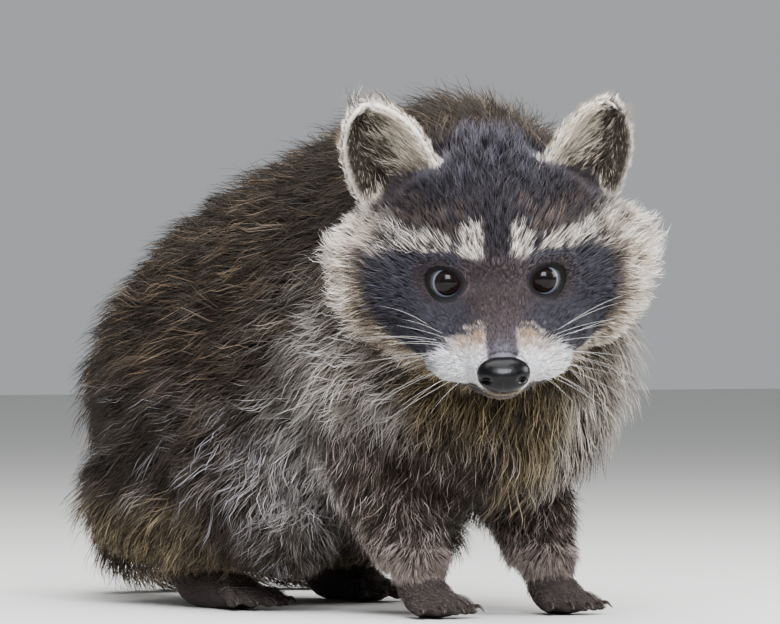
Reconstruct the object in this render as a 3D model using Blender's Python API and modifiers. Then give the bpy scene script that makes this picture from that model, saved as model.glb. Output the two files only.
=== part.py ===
"""A young raccoon, life size, standing on four feet with its head turned to its right.

The solids give the outline of the animal out to the tips of its coat. The body, legs, neck,
head and tail are modelled whole, from rounded forms that a voxel remesh melts together, and
are then parted by thin cuts. Paws, ears, nose and eyes are made on their own, because they
are finer than the rest.

Metres, +Z up, floor at Z = 0. The animal's trunk runs along Y with the chest towards -Y, so
its left side is at +X. Sizes below are in millimetres and are turned to metres by mm().
"""

import math
from dataclasses import dataclass

import bmesh
import bpy
from mathutils import Matrix, Vector

# Driving sizes, in millimetres
GAP = 0.3
HEAD_YAW = -33.0
HEAD_PITCH = 26.0
HEAD_ROLL = -2.0
EYE_MIDPOINT = (-43.5, -67.3, 127.0)
EYE_APART = 36.5
EYE_RADIUS = 6.6
EYE_FORWARD = 1.6  # how far the eyeballs stand ahead of the line between the eye corners
EAR_SEAT = (37.5, 34.0, 37.5)
EAR_LEAN = 20.0
EAR_SWING = 12.0
FORE_TRACK = 61.0
HIND_TRACK = 88.0
HIP_Y = 152.0
RIGHT_STEP = 34.0  # how far the right hind foot stands ahead of the left
FOREPAW_LENGTH = 37.0
HINDPAW_LENGTH = 66.0
TAIL_RADIUS = 17.0
PAW_TOP = 15.0

# Fineness of the meshes, in millimetres, and the triangles that each main form keeps
BODY_VOXEL = 2.2
FINE_VOXEL = 0.8
BODY_TRIANGLES = 3290
PAW_TRIANGLES = 345
EAR_TRIANGLES = 165
RING_POINTS = 28
SHARP_DEGREES = 42.0

# Where the body is parted: corners or outlines of the cutting blocks, in millimetres
DOWNHILL = 60.0  # how far a cutter reaches below the floor
HEAD_CUT = ((-110, -110, -42), (110, 50, 130))  # in the head's own frame
NECK_CUT = ((-120, -200, 112), (100, 8, 300))
NECK_CUT_TILT = -14.0
HAUNCH_TOP = 122.0
HAUNCH_KNEE = 44.0
HAUNCH_SPAN = (13, 120)  # along X, from near the middle to past the flank
SHOULDER_SPAN = (11, 95)
SHOULDER_OUTLINE = ((-40, -DOWNHILL), (-40, 100), (-12, 116), (40, 116), (52, 96), (40, 60),
                    (28, 30), (28, -DOWNHILL))  # (y, z)
TAIL_END_CUT = ((66, 120, -DOWNHILL), (200, 320, 60))
TAIL_BEND_CUT = ((-60, 215, -DOWNHILL), (70, 320, 38))
TAIL_ROOT_CUT = ((-60, 0, -90), (60, 106, 70))
TAIL_ROOT_PLACE = (0, 214, 70)
TAIL_ROOT_TILT = 14.0

FORWARD = Vector((0.0, -1.0, 0.0))
LEFT = Vector((1.0, 0.0, 0.0))
UP = Vector((0.0, 0.0, 1.0))


def mm(*values):
    """Millimetres as metres: one number, or a Vector of three."""
    if len(values) == 1:
        return values[0] * 0.001
    return Vector(values) * 0.001


# ---------------------------------------------------------------- materials


def finish(name, colour, roughness):
    """A plain Principled material."""
    material = bpy.data.materials.new(name)
    material.use_nodes = True
    shader = material.node_tree.nodes["Principled BSDF"]
    shader.inputs["Base Color"].default_value = (*colour, 1.0)
    shader.inputs["Roughness"].default_value = roughness
    shader.inputs["Metallic"].default_value = 0.0
    material.diffuse_color = (*colour, 1.0)
    return material


# ---------------------------------------------------------------- building blocks


def frame_along(direction, upward=UP):
    """Axes (side, up, along) of a frame whose third axis follows direction."""
    along = direction.normalized()
    side = upward.cross(along)
    if side.length < 1e-6:
        side = LEFT.copy()
    side.normalize()
    return side, along.cross(side), along


def add_ball(form, centre, half, turn=None):
    """An ellipsoid of half sizes (x, y, z), turned about its centre."""
    matrix = Matrix.Translation(centre) @ (turn or Matrix.Identity(4))
    matrix = matrix @ Matrix.Diagonal((*half, 1.0))
    bmesh.ops.create_uvsphere(form, u_segments=24, v_segments=14, radius=1.0, matrix=matrix)


@dataclass(frozen=True)
class Ring:
    """One elliptical section of a loft, in metres."""

    centre: Vector
    across: Vector
    upward: Vector

    def matrix(self):
        """Takes a unit circle in XY to this section."""
        normal = self.across.cross(self.upward).normalized()
        columns = [self.across, self.upward, normal]
        turned = Matrix(columns).transposed().to_4x4()
        return Matrix.Translation(self.centre) @ turned


def add_loft(form, rings, points=RING_POINTS):
    """A closed skin over elliptical sections, with flat ends."""
    loops = []
    for ring in rings:
        made = bmesh.ops.create_circle(form, segments=points, radius=1.0, matrix=ring.matrix())
        loops.append(list({edge for vert in made["verts"] for edge in vert.link_edges}))
    for near, far in zip(loops, loops[1:]):
        bmesh.ops.bridge_loops(form, edges=near + far)
    for end in (loops[0], loops[-1]):
        bmesh.ops.contextual_create(form, geom=end)


def curve_through(knots, steps):
    """Catmull-Rom values through knots, which are Vectors of any one length."""
    padded = [knots[0] * 2 - knots[1], *knots, knots[-1] * 2 - knots[-2]]
    found = []
    for k in range(1, len(padded) - 2):
        before, start, end, after = padded[k - 1 : k + 3]
        for step in range(steps):
            t = step / steps
            found.append(
                0.5
                * (
                    2 * start
                    + (end - before) * t
                    + (2 * before - 5 * start + 4 * end - after) * t**2
                    + (3 * start - before - 3 * end + after) * t**3
                )
            )
    return [*found, knots[-1]]


def add_limb(form, knots, steps=5, flatten=1.0):
    """A tapering round form through knots (x, y, z, radius) in millimetres, with round ends.

    flatten scales the height of its sections.
    """
    path = curve_through([Vector(knot) * 0.001 for knot in knots], steps)
    rings = []
    for index, knot in enumerate(path):
        ahead = path[min(index + 1, len(path) - 1)].to_3d()
        behind = path[max(index - 1, 0)].to_3d()
        side, upward, _ = frame_along(ahead - behind, UP + FORWARD * 0.2)
        rings.append(Ring(knot.to_3d(), side * knot[3], upward * knot[3] * flatten))
    add_loft(form, rings, 20)
    for end in (path[0], path[-1]):
        add_ball(form, end.to_3d(), Vector((end[3], end[3], end[3] * flatten)))


def object_of(name, form, collection):
    """Puts the bmesh form into a new object, with its faces turned outwards."""
    bmesh.ops.recalc_face_normals(form, faces=form.faces)
    mesh = bpy.data.meshes.new(name)
    form.to_mesh(mesh)
    form.free()
    made = bpy.data.objects.new(name, mesh)
    collection.objects.link(made)
    return made


def bake_modifiers(thing):
    """Replaces the object's mesh by what its modifiers make of it."""
    graph = bpy.context.evaluated_depsgraph_get()
    graph.update()
    mesh = bpy.data.meshes.new_from_object(thing.evaluated_get(graph))
    thing.modifiers.clear()
    thing.data = mesh


def melt(thing, voxel, smoothing, triangles):
    """Melts overlapping forms into one smooth closed surface of about that many triangles."""
    remesh = thing.modifiers.new("one_surface", "REMESH")
    remesh.mode = "VOXEL"
    remesh.voxel_size = mm(voxel)
    smooth = thing.modifiers.new("soften", "SMOOTH")
    smooth.factor = 0.5
    smooth.iterations = smoothing
    bake_modifiers(thing)
    faces = sum(len(face.vertices) - 2 for face in thing.data.polygons)
    reduce = thing.modifiers.new("fewer_faces", "DECIMATE")
    reduce.ratio = min(1.0, triangles / faces)
    bake_modifiers(thing)


def rounded_block(name, low, high, rounding, helpers, matrix=None):
    """A block between two corners, in millimetres, with rounded edges, as a cutter."""
    low, high = mm(*low), mm(*high)
    form = bmesh.new()
    bmesh.ops.create_cube(form, size=1.0, matrix=Matrix.Translation((low + high) / 2)
                          @ Matrix.Diagonal((*(high - low), 1.0)))
    if rounding:
        bmesh.ops.bevel(form, geom=form.edges[:], offset=mm(rounding), affect="EDGES",
                        segments=3, profile=0.5, material=-1, clamp_overlap=True)
    if matrix:
        bmesh.ops.transform(form, matrix=matrix, verts=form.verts)
    block = object_of(name, form, helpers)
    block.hide_render = True
    block.display_type = "WIRE"
    return block


def outline_block(name, outline, inner, outer, rounding, helpers):
    """A cutter with the given outline (y, z) in side view, between two places along X."""
    form = bmesh.new()
    corners = [form.verts.new(mm(inner, y, z)) for y, z in outline]
    face = form.faces.new(corners)
    grown = bmesh.ops.extrude_face_region(form, geom=[face])["geom"]
    verts = [item for item in grown if isinstance(item, bmesh.types.BMVert)]
    bmesh.ops.translate(form, verts=verts, vec=mm(outer - inner, 0, 0))
    bmesh.ops.bevel(form, geom=form.edges[:], offset=mm(rounding), affect="EDGES",
                    segments=3, profile=0.5, material=-1, clamp_overlap=True)
    block = object_of(name, form, helpers)
    block.hide_render = True
    block.display_type = "WIRE"
    return block


def combine(thing, cutter, operation):
    """Applies one Boolean with an exact solver."""
    boolean = thing.modifiers.new(operation.lower(), "BOOLEAN")
    boolean.operation = operation
    boolean.solver = "EXACT"
    boolean.object = cutter
    bake_modifiers(thing)


def swollen(cutter, by=GAP):
    """A copy of the cutter, moved out by this many millimetres on every side."""
    bigger = cutter.copy()
    bigger.data = cutter.data.copy()
    bigger.name = cutter.name + "_gap"
    bigger.hide_render = True
    bpy.data.collections["cutters"].objects.link(bigger)
    form = bmesh.new()
    form.from_mesh(bigger.data)
    form.normal_update()
    for vert in form.verts:
        vert.co += vert.normal * vert.calc_shell_factor() * mm(by)
    form.to_mesh(bigger.data)
    form.free()
    return bigger


def part_off(whole, cutter, name, material):
    """Takes what lies in the cutter off the whole as a new object, leaving a thin cut."""
    piece = whole.copy()
    piece.data = whole.data.copy()
    piece.name = name
    whole.users_collection[0].objects.link(piece)
    combine(piece, cutter, "INTERSECT")
    combine(whole, swollen(cutter), "DIFFERENCE")
    dress(piece, material)
    return piece


def dress(thing, material):
    """Gives the object its one material and smooth shading."""
    thing.data.materials.clear()
    thing.data.materials.append(material)
    thing.data.shade_smooth()
    thing.data.set_sharp_from_angle(angle=math.radians(SHARP_DEGREES))


# ---------------------------------------------------------------- the animal's forms


def head_matrix():
    """From the head's own frame, its origin between the eyes, to the world."""
    turn = Matrix.Rotation(math.radians(HEAD_YAW), 4, "Z")
    nod = Matrix.Rotation(math.radians(HEAD_PITCH), 4, "X")
    roll = Matrix.Rotation(math.radians(HEAD_ROLL), 4, "Y")
    return Matrix.Translation(mm(*EYE_MIDPOINT)) @ turn @ nod @ roll


@dataclass(frozen=True)
class TrunkSection:
    """An upright section of the trunk: its place along Y, and its top, belly and half width."""

    along: float
    top: float
    belly: float
    half_width: float

    def values(self):
        """As a Vector, for the curve through all sections."""
        return Vector((self.along, self.top, self.belly, self.half_width)) * 0.001


TRUNK = (
    TrunkSection(-54, 120, 84, 14),
    TrunkSection(-46, 148, 60, 36),
    TrunkSection(-26, 178, 46, 51),
    TrunkSection(4, 196, 38, 57),
    TrunkSection(40, 196, 28, 58),
    TrunkSection(80, 188, 21, 60),
    TrunkSection(120, 176, 17, 62),
    TrunkSection(160, 160, 18, 62),
    TrunkSection(192, 138, 32, 53),
    TrunkSection(213, 113, 50, 38),
    TrunkSection(224, 98, 70, 16),
)


def add_trunk(form):
    """The barrel of the body, arched along the back and rounded at the rump."""
    rings = []
    for along, top, belly, half in curve_through([s.values() for s in TRUNK], 4):
        centre = Vector((0.0, along, (top + belly) / 2))
        rings.append(Ring(centre, LEFT * half, UP * (top - belly) / 2))
    add_loft(form, rings, 36)


def add_neck(form):
    """From the withers to the back of the skull, thick with fur, and the ruff of the throat."""
    add_limb(form, [(2, 28, 146, 50), (-8, 0, 150, 49), (-20, -26, 151, 43)])
    add_ball(form, mm(-14, -34, 108), mm(38, 26, 34))


def add_head(form):
    """Skull, forehead, cheeks with their ruff, muzzle and chin, in the head's own frame."""
    head = bmesh.new()
    add_ball(head, mm(0, 30, 9), mm(43, 40, 40))
    add_ball(head, mm(0, 12, 12), mm(37, 22, 26))
    add_ball(head, mm(0, 20, -14), mm(43, 28, 26))
    muzzle = [(0, 10, -11, 24), (0, -8, -13.5, 18.5), (0, -25, -16.5, 14), (0, -37, -18.5, 11)]
    add_limb(head, muzzle, flatten=0.86)
    add_ball(head, mm(0, -20, -27), mm(12, 18, 8))
    for side in (-1, 1):
        add_ball(head, mm(side * 34, 18, -10), mm(30, 20, 27))
        add_ball(head, mm(side * 43, 23, 1), mm(21, 17, 24))
        add_ball(head, mm(side * 17, 2, 14), mm(12, 9, 6.5))
        add_ball(head, mm(side * 13, -18, -20.5), mm(14.5, 15, 10))
        add_ball(head, mm(side * 21, -2, -16), mm(15, 17, 13))
        add_ball(head, mm(side * 33, 36, 24), mm(14, 13, 13))
    bmesh.ops.transform(head, matrix=head_matrix(), verts=head.verts)
    join(form, head)


def join(form, other):
    """Adds the geometry of another bmesh to this one and frees the other."""
    scrap = bpy.data.meshes.new("scrap")
    other.to_mesh(scrap)
    other.free()
    form.from_mesh(scrap)
    bpy.data.meshes.remove(scrap)


def add_foreleg(form, side):
    """Shoulder, elbow and forearm down to the wrist, with the fringe behind the forearm."""
    x = side * FORE_TRACK / 2
    add_limb(form, [
        (x * 0.95, 22, 112, 31),
        (x * 1.02, 28, 84, 28),
        (x * 1.05, 22, 58, 21.5),
        (x * 1.02, 8, 34, 15.8),
        (x, 0, 12, 12.2),
    ])
    add_limb(form, [(x * 1.08, 30, 62, 15), (x * 1.05, 19, 38, 12), (x * 1.02, 11, 22, 7)])


def hind_step(side):
    """How far back the hind foot of this side stands from the common place, in millimetres."""
    return -RIGHT_STEP if side < 0 else 0.0


def add_hindleg(form, side):
    """Haunch, bent knee and shank down to the heel."""
    x = side * HIND_TRACK / 2
    step = hind_step(side)
    add_ball(form, mm(x * 0.72, HIP_Y - 2 + step * 0.3, 76), mm(38, 52, 58))
    add_limb(form, [
        (x * 0.84, HIP_Y - 20 + step * 0.5, 84, 34),
        (x * 1.04, HIP_Y - 34 + step, 50, 28),
        (x * 1.04, HIP_Y - 12 + step, 34, 22),
        (x * 0.98, HIP_Y + 10 + step, 14, 15.5),
    ])
    add_limb(form, [
        (x * 0.8, HIP_Y + 18, 46, 30),
        (x * 0.9, HIP_Y - 26 + step * 0.6, 38, 26),
        (x * 1.0, HIP_Y - 54 + step, 31, 18),
    ])


TAIL = (
    (0, 196, 98, 20),
    (0, 222, 76, 21),
    (1, 240, 46, 20),
    (14, 254, 22, TAIL_RADIUS + 2),
    (44, 262, 17, TAIL_RADIUS + 1.5),
    (76, 258, 16.5, TAIL_RADIUS + 1),
    (98, 243, 16, TAIL_RADIUS),
    (106, 228, 15, TAIL_RADIUS - 3),
)


def whole_body(parts):
    """Every form of flesh and coat but the paws and ears, melted into one surface."""
    form = bmesh.new()
    add_trunk(form)
    add_neck(form)
    add_head(form)
    for side in (-1, 1):
        add_foreleg(form, side)
        add_hindleg(form, side)
    add_limb(form, TAIL, steps=4)
    body = object_of("trunk", form, parts)
    melt(body, BODY_VOXEL, 6, BODY_TRIANGLES)
    return body


def paw(name, side, fore, parts):
    """A paw flat on the floor: sole, five fingers and their claws."""
    x = side * (FORE_TRACK if fore else HIND_TRACK * 0.98) / 2
    length = FOREPAW_LENGTH if fore else HINDPAW_LENGTH
    heel_y = 5.0 if fore else HIP_Y + 22 + hind_step(side)
    form = bmesh.new()
    if fore:
        add_limb(form, [(x, 0, 20, 12.4), (x, -1, 11, 12), (x, -13, 6.6, 10.6)], flatten=0.88)
    else:
        heel = [(x, heel_y - 9, 19, 14.5), (x, heel_y - 12, 10, 12), (x, heel_y - 34, 7, 10.5),
                (x, heel_y - 48, 6, 10.5)]
        add_limb(form, heel, flatten=0.85)
    knuckles = Vector((x, heel_y - length * (0.52 if fore else 0.74), 4.6))
    for toe in range(-2, 3):
        outward = toe * side
        spread = math.radians(outward * -9.0)
        reach = length * (0.42 if fore else 0.24) * (1.0 - 0.055 * toe * toe)
        root = knuckles + Vector((outward * 4.4, abs(toe) * 1.3, 0.0))
        way = Vector((-math.sin(spread), -math.cos(spread), 0.0))
        joint = root + way * reach * 0.55 + UP * 1.4
        tip = root + way * reach - UP * 1.6
        add_limb(form, [(*root, 3.1), (*joint, 2.7), (*tip, 2.5)], steps=3)
        claw = tip + way * 5.2 - UP * 1.4
        middle = tip + way * 3.0 + UP * 0.8
        add_limb(form, [(*tip, 1.6), (*middle, 1.2), (*claw, 0.7)], steps=3)
    made = object_of(name, form, parts)
    melt(made, FINE_VOXEL, 2, PAW_TRIANGLES)
    return made


def ear(name, side, parts, helpers):
    """An upright rounded pinna, hollow towards the front, in the head's own frame."""
    lean = Matrix.Rotation(math.radians(side * EAR_LEAN), 4, "Y")
    swing = Matrix.Rotation(math.radians(side * EAR_SWING), 4, "Z")
    place = head_matrix() @ Matrix.Translation(mm(side * EAR_SEAT[0], *EAR_SEAT[1:])) @ lean @ swing
    form = bmesh.new()
    add_ball(form, Vector(), mm(17.2, 6.5, 25.5))
    bmesh.ops.transform(form, matrix=place, verts=form.verts)
    made = object_of(name, form, parts)
    form = bmesh.new()
    add_ball(form, mm(0, -7.5, 1.5), mm(12.0, 7.0, 19.5))
    bmesh.ops.transform(form, matrix=place, verts=form.verts)
    hollow = object_of(name + "_hollow", form, helpers)
    hollow.hide_render = True
    combine(made, hollow, "DIFFERENCE")
    melt(made, FINE_VOXEL, 3, EAR_TRIANGLES)
    return made


def ball_object(name, centre, half, parts, turn=None):
    """A separate small ellipsoid."""
    form = bmesh.new()
    matrix = Matrix.Translation(centre) @ (turn or Matrix.Identity(4))
    matrix = matrix @ Matrix.Diagonal((*half, 1.0))
    bmesh.ops.create_uvsphere(form, u_segments=14, v_segments=8, radius=1.0, matrix=matrix)
    return object_of(name, form, parts)


# ---------------------------------------------------------------- assembly


def local_block(name, low, high, rounding, helpers):
    """A cutting block given in the head's own frame."""
    return rounded_block(name, low, high, rounding, helpers, head_matrix())


def haunch_outline(side):
    """The outline (y, z) in side view of the cutter round one haunch, knee and heel."""
    knee = HIP_Y - 84 + hind_step(side)
    return [(knee, -DOWNHILL), (knee, HAUNCH_KNEE), (HIP_Y - 62, HAUNCH_TOP),
            (HIP_Y + 36, HAUNCH_TOP), (HIP_Y + 54, 92), (HIP_Y + 54, -DOWNHILL)]


def centre(parts):
    """Moves every node so that the box round them all stands centred on the origin."""
    points = [vert.co for thing in parts.objects for vert in thing.data.vertices]
    middle = [(min(p[k] for p in points) + max(p[k] for p in points)) / 2 for k in range(2)]
    shift = Matrix.Translation((-middle[0], -middle[1], -min(p[2] for p in points)))
    for thing in parts.objects:
        thing.data.transform(shift)


def main():
    """Builds every node, moves the whole so that its box is centred, and parts the body."""
    for thing in list(bpy.data.objects):
        bpy.data.objects.remove(thing)
    parts = bpy.data.collections.new("raccoon")
    helpers = bpy.data.collections.new("cutters")
    bpy.context.scene.collection.children.link(parts)
    bpy.context.scene.collection.children.link(helpers)
    coat = finish("grizzled_coat", (0.075, 0.058, 0.045), 0.85)
    mask = finish("head_coat", (0.16, 0.14, 0.12), 0.85)
    pale = finish("ear_coat", (0.55, 0.52, 0.47), 0.85)
    skin = finish("paw_skin", (0.05, 0.045, 0.042), 0.6)
    wet = finish("eye_gloss", (0.008, 0.007, 0.007), 0.05)
    leather = finish("nose_leather", (0.012, 0.012, 0.014), 0.25)

    body = whole_body(parts)
    floor = rounded_block("below_floor", (-400, -400, -DOWNHILL), (400, 400, 0), 0, helpers)
    combine(body, floor, "DIFFERENCE")

    head = head_matrix()
    for side, word in ((-1, "right"), (1, "left")):
        for fore in (True, False):
            made = paw(("fore" if fore else "hind") + "paw_" + word, side, fore, parts)
            combine(made, floor, "DIFFERENCE")
            box = [made.matrix_world @ Vector(corner) * 1000 for corner in made.bound_box]
            low = [min(corner[k] for corner in box) - 3 for k in range(3)]
            high = [max(corner[k] for corner in box) + 3 for k in range(3)]
            low[2], high[2] = -DOWNHILL, PAW_TOP
            block = rounded_block("around_" + made.name, low, high, 0, helpers)
            combine(body, swollen(block), "DIFFERENCE")
            combine(made, block, "INTERSECT")
            dress(made, skin)

    nose = ball_object("nose", head @ mm(0, -43.5, -17.0), mm(9.6, 6.4, 6.9), parts,
                       head.to_3x3().to_4x4() @ Matrix.Rotation(math.radians(-14), 4, "X"))
    dress(nose, leather)
    for side, word in ((-1, "right"), (1, "left")):
        eye = ball_object("eye_" + word, head @ mm(side * EYE_APART / 2, -EYE_FORWARD, 0),
                          mm(EYE_RADIUS, EYE_RADIUS, EYE_RADIUS), parts)
        dress(eye, wet)
        pinna = ear("ear_" + word, side, parts, helpers)
        dress(pinna, pale)

    for name in ("nose", "eye_right", "eye_left"):
        combine(body, swollen(bpy.data.objects[name]), "DIFFERENCE")
    behind_head = local_block("head_block", *HEAD_CUT, 12, helpers)
    made_head = part_off(body, behind_head, "head", mask)
    for word in ("right", "left"):
        combine(bpy.data.objects["ear_" + word], swollen(made_head), "DIFFERENCE")

    block = rounded_block("neck_block", *NECK_CUT, 14, helpers,
                          Matrix.Rotation(math.radians(NECK_CUT_TILT), 4, "X"))
    part_off(body, block, "neck", coat)
    for side, word in ((-1, "right"), (1, "left")):
        near, far = (side * place for place in HAUNCH_SPAN)
        block = outline_block("haunch_" + word, haunch_outline(side), near, far, 14, helpers)
        part_off(body, block, "hindleg_" + word, coat)
        near, far = (side * place for place in SHOULDER_SPAN)
        block = outline_block("shoulder_" + word, SHOULDER_OUTLINE, near, far, 11, helpers)
        part_off(body, block, "foreleg_" + word, coat)

    block = rounded_block("tail_end_block", *TAIL_END_CUT, 0, helpers)
    part_off(body, block, "tail_end", coat)
    block = rounded_block("tail_bend_block", *TAIL_BEND_CUT, 0, helpers)
    part_off(body, block, "tail_bend", coat)
    place = Matrix.Translation(mm(*TAIL_ROOT_PLACE))
    block = rounded_block("tail_root_block", *TAIL_ROOT_CUT, 0, helpers,
                          place @ Matrix.Rotation(math.radians(TAIL_ROOT_TILT), 4, "X"))
    part_off(body, block, "tail_root", coat)
    dress(body, coat)
    centre(parts)


main()
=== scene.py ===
"""A life-size young raccoon: skin, coat, eyes, nose, whiskers and claws over its solids.

Everything is in the solids' frame: metres, +Z up, chest towards -Y, the animal's left at +X.
Sizes without a unit in their comment are in millimetres, and MM turns them to metres.
"""

import logging
import math
from contextlib import contextmanager
from dataclasses import dataclass, field
from enum import Enum
from typing import Iterator

import bmesh
import bpy
import numpy as np
from mathutils import Matrix, Vector
from mathutils.bvhtree import BVHTree
from mathutils.kdtree import KDTree


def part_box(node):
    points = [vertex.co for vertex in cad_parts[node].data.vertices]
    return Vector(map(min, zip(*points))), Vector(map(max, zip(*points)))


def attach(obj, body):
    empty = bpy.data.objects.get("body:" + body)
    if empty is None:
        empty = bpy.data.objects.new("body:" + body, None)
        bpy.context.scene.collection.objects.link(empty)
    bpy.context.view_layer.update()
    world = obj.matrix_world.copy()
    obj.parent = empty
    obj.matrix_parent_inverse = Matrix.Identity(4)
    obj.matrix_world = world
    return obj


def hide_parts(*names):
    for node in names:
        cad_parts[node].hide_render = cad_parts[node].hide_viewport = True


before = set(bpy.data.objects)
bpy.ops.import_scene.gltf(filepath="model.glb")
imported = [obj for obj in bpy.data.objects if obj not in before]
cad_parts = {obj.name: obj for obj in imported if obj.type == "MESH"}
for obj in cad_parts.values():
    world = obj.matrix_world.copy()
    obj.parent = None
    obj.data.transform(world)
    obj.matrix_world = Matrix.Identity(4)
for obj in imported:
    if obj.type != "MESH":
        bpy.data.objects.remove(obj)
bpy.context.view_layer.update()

LOG = logging.getLogger("raccoon")
MM = 0.001
SEED = 2207

Array = np.ndarray
Form = bmesh.types.BMesh
Thing = bpy.types.Object
Triple = tuple[float, float, float]

HEAD_TURN = (-33.0, 26.0, -2.0)  # degrees of yaw, pitch and roll
EYE_FORWARD = 1.6  # from the head's origin to the line through the eyeballs
EYE_SHIFTS = ((0.0, 0.0, 1.3), (-1.0, 0.0, 1.3))  # from the middles of the eyes' solids
EYE_RADIUS = 6.6
SNOUT = (0.0, -44.0, -17.0)  # just ahead of the nose: hair on the head lies away from it
WHISKER_ROWS, WHISKER_COLUMNS = 4, 5


# ------------------------------------------------------------------ small helpers


def linear(code: str) -> Array:
    """Turns an sRGB hex code into linear RGB.

    Args:
        code: six hex digits, such as "3A3028".

    Returns:
        Three numbers from 0 to 1.
    """
    srgb = np.array([int(code[k : k + 2], 16) for k in (0, 2, 4)]) / 255.0
    return np.where(srgb <= 0.04045, srgb / 12.92, ((srgb + 0.055) / 1.055) ** 2.4)


def ramp(values: Array | float, start: float | Array, end: float | Array) -> Array:
    """Smooth step from 0 at start to 1 at end; end may lie below start."""
    t = np.clip((values - start) / (end - start), 0.0, 1.0)
    return t * t * (3.0 - 2.0 * t)


def blob(*terms: tuple[Array, float | Array, float]) -> Array:
    """A soft spot from (values, middle, half width) for each direction: 1 at its middle."""
    return np.exp(-sum(((values - centre) / half) ** 2 for values, centre, half in terms))


def unit(vectors: Array) -> Array:
    """Vectors scaled to length one."""
    return vectors / np.maximum(np.linalg.norm(vectors, axis=-1, keepdims=True), 1e-12)


def rows(*columns: Array | float) -> Array:
    """Vectors, one per row, from columns of which single numbers are repeated."""
    return np.stack(np.broadcast_arrays(*columns), 1)


def mixed(first: Array, second: Array, share: Array | float) -> Array:
    """Blend of two rows of colours or vectors by a share per row."""
    share = np.asarray(share)[..., None]
    return first * (1.0 - share) + second * share


def read(items: bpy.types.bpy_prop_collection, key: str, columns: int,
         kind: type = np.float32) -> Array:
    """Reads one attribute of all items of a mesh.

    Args:
        items: such as a mesh's vertices.
        key: the attribute's name.
        columns: numbers per item.
        kind: type of the numbers.

    Returns:
        One row per item.
    """
    values = np.empty(len(items) * columns, kind)
    items.foreach_get(key, values)
    return values.reshape(-1, columns)


def move_points(thing: Thing, points: Array) -> None:
    """Gives an object's mesh new places for its points, in metres."""
    thing.data.vertices.foreach_set("co", points.ravel().astype(np.float32))
    thing.data.update()


@contextmanager
def edited(mesh: bpy.types.Mesh) -> Iterator[Form]:
    """Lends a mesh as a bmesh and writes it back.

    Args:
        mesh: the mesh, changed in place.

    Returns:
        The bmesh, once, to edit before the with block ends.
    """
    form = bmesh.new()
    form.from_mesh(mesh)
    yield form
    form.to_mesh(mesh)
    form.free()


def add_node(tree: bpy.types.NodeTree, kind: str, settings: dict | None = None,
             inputs: dict | None = None, links: dict | None = None) -> bpy.types.Node:
    """Adds one shader node.

    Args:
        tree: the node tree that it goes into.
        kind: the node's type name.
        settings: attributes to set on the node.
        inputs: socket name or number to constant value.
        links: socket name or number to the output socket that feeds it.

    Returns:
        The new node.
    """
    node = tree.nodes.new(kind)
    for name, value in (settings or {}).items():
        setattr(node, name, value)
    for name, value in (inputs or {}).items():
        node.inputs[name].default_value = value
    for name, source in (links or {}).items():
        tree.links.new(source, node.inputs[name])
    return node


def linked(name: str, data: bpy.types.ID) -> Thing:
    """A new object at the origin of the scene."""
    made = bpy.data.objects.new(name, data)
    bpy.context.scene.collection.objects.link(made)
    return made


def new_object(name: str, form: Form) -> Thing:
    """Puts a bmesh into a new object at the origin and frees it.

    Args:
        name: the object's name.
        form: the shape, in metres in the row frame.

    Returns:
        The object, linked to the scene.
    """
    mesh = bpy.data.meshes.new(name)
    form.to_mesh(mesh)
    form.free()
    mesh.shade_smooth()
    return linked(name, mesh)


def add_mesh(form: Form, other: Form) -> None:
    """Adds the geometry of other to form and frees other.

    Args:
        form: the bmesh that grows.
        other: the bmesh that is used up.
    """
    scrap = bpy.data.meshes.new("scrap")
    other.to_mesh(scrap)
    other.free()
    form.from_mesh(scrap)
    bpy.data.meshes.remove(scrap)


def add_tube(form: Form, knots: list[tuple[float, ...]], sides: int = 14, steps: int = 4,
             pointed: bool = False) -> None:
    """Adds a closed round tube through knots by lofting circles.

    Args:
        form: the bmesh that it is added to.
        knots: (x, y, z, radius) in millimetres.
        sides: corners of each section.
        steps: sections between two knots.
        pointed: whether the far end is drawn to a point.
    """
    places = [Vector(knot) * MM for knot in knots]
    places = [places[0] * 2 - places[1], *places, places[-1] * 2 - places[-2]]
    path = []
    for a, b, c, d in zip(places, places[1:], places[2:], places[3:]):
        for step in range(steps):
            t = step / steps
            path.append(0.5 * (2 * b + (c - a) * t + (2 * a - 5 * b + 4 * c - d) * t * t
                               + (3 * b - a - 3 * c + d) * t ** 3))
    path.append(places[-2])
    loops = []
    for index, place in enumerate(path):
        along = path[min(index + 1, len(path) - 1)].to_3d() - path[max(index - 1, 0)].to_3d()
        turn = along.to_track_quat("Z", "Y").to_matrix().to_4x4()
        made = bmesh.ops.create_circle(form, segments=sides, radius=max(place[3], 1e-5),
                                       matrix=Matrix.Translation(place.to_3d()) @ turn)
        loops.append(list({edge for vert in made["verts"] for edge in vert.link_edges}))
    for near, far in zip(loops, loops[1:]):
        bmesh.ops.bridge_loops(form, edges=near + far)
    bmesh.ops.contextual_create(form, geom=loops[0])
    if pointed:
        tip = list({vert for edge in loops[-1] for vert in edge.verts})
        bmesh.ops.pointmerge(form, verts=tip, merge_co=path[-1].to_3d())
    else:
        bmesh.ops.contextual_create(form, geom=loops[-1])


def add_ball(form: Form, centre: Vector, half: Triple, rings: int = 14) -> None:
    """Adds an ellipsoid as a part of a larger form.

    Args:
        form: the bmesh that it is added to.
        centre: its middle.
        half: its half sizes.
        rings: rings from pole to pole.
    """
    matrix = Matrix.Translation(centre * MM) @ Matrix.Diagonal((*(Vector(half) * MM), 1.0))
    bmesh.ops.create_uvsphere(form, u_segments=rings * 2, v_segments=rings, radius=1.0,
                              matrix=matrix)


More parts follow.
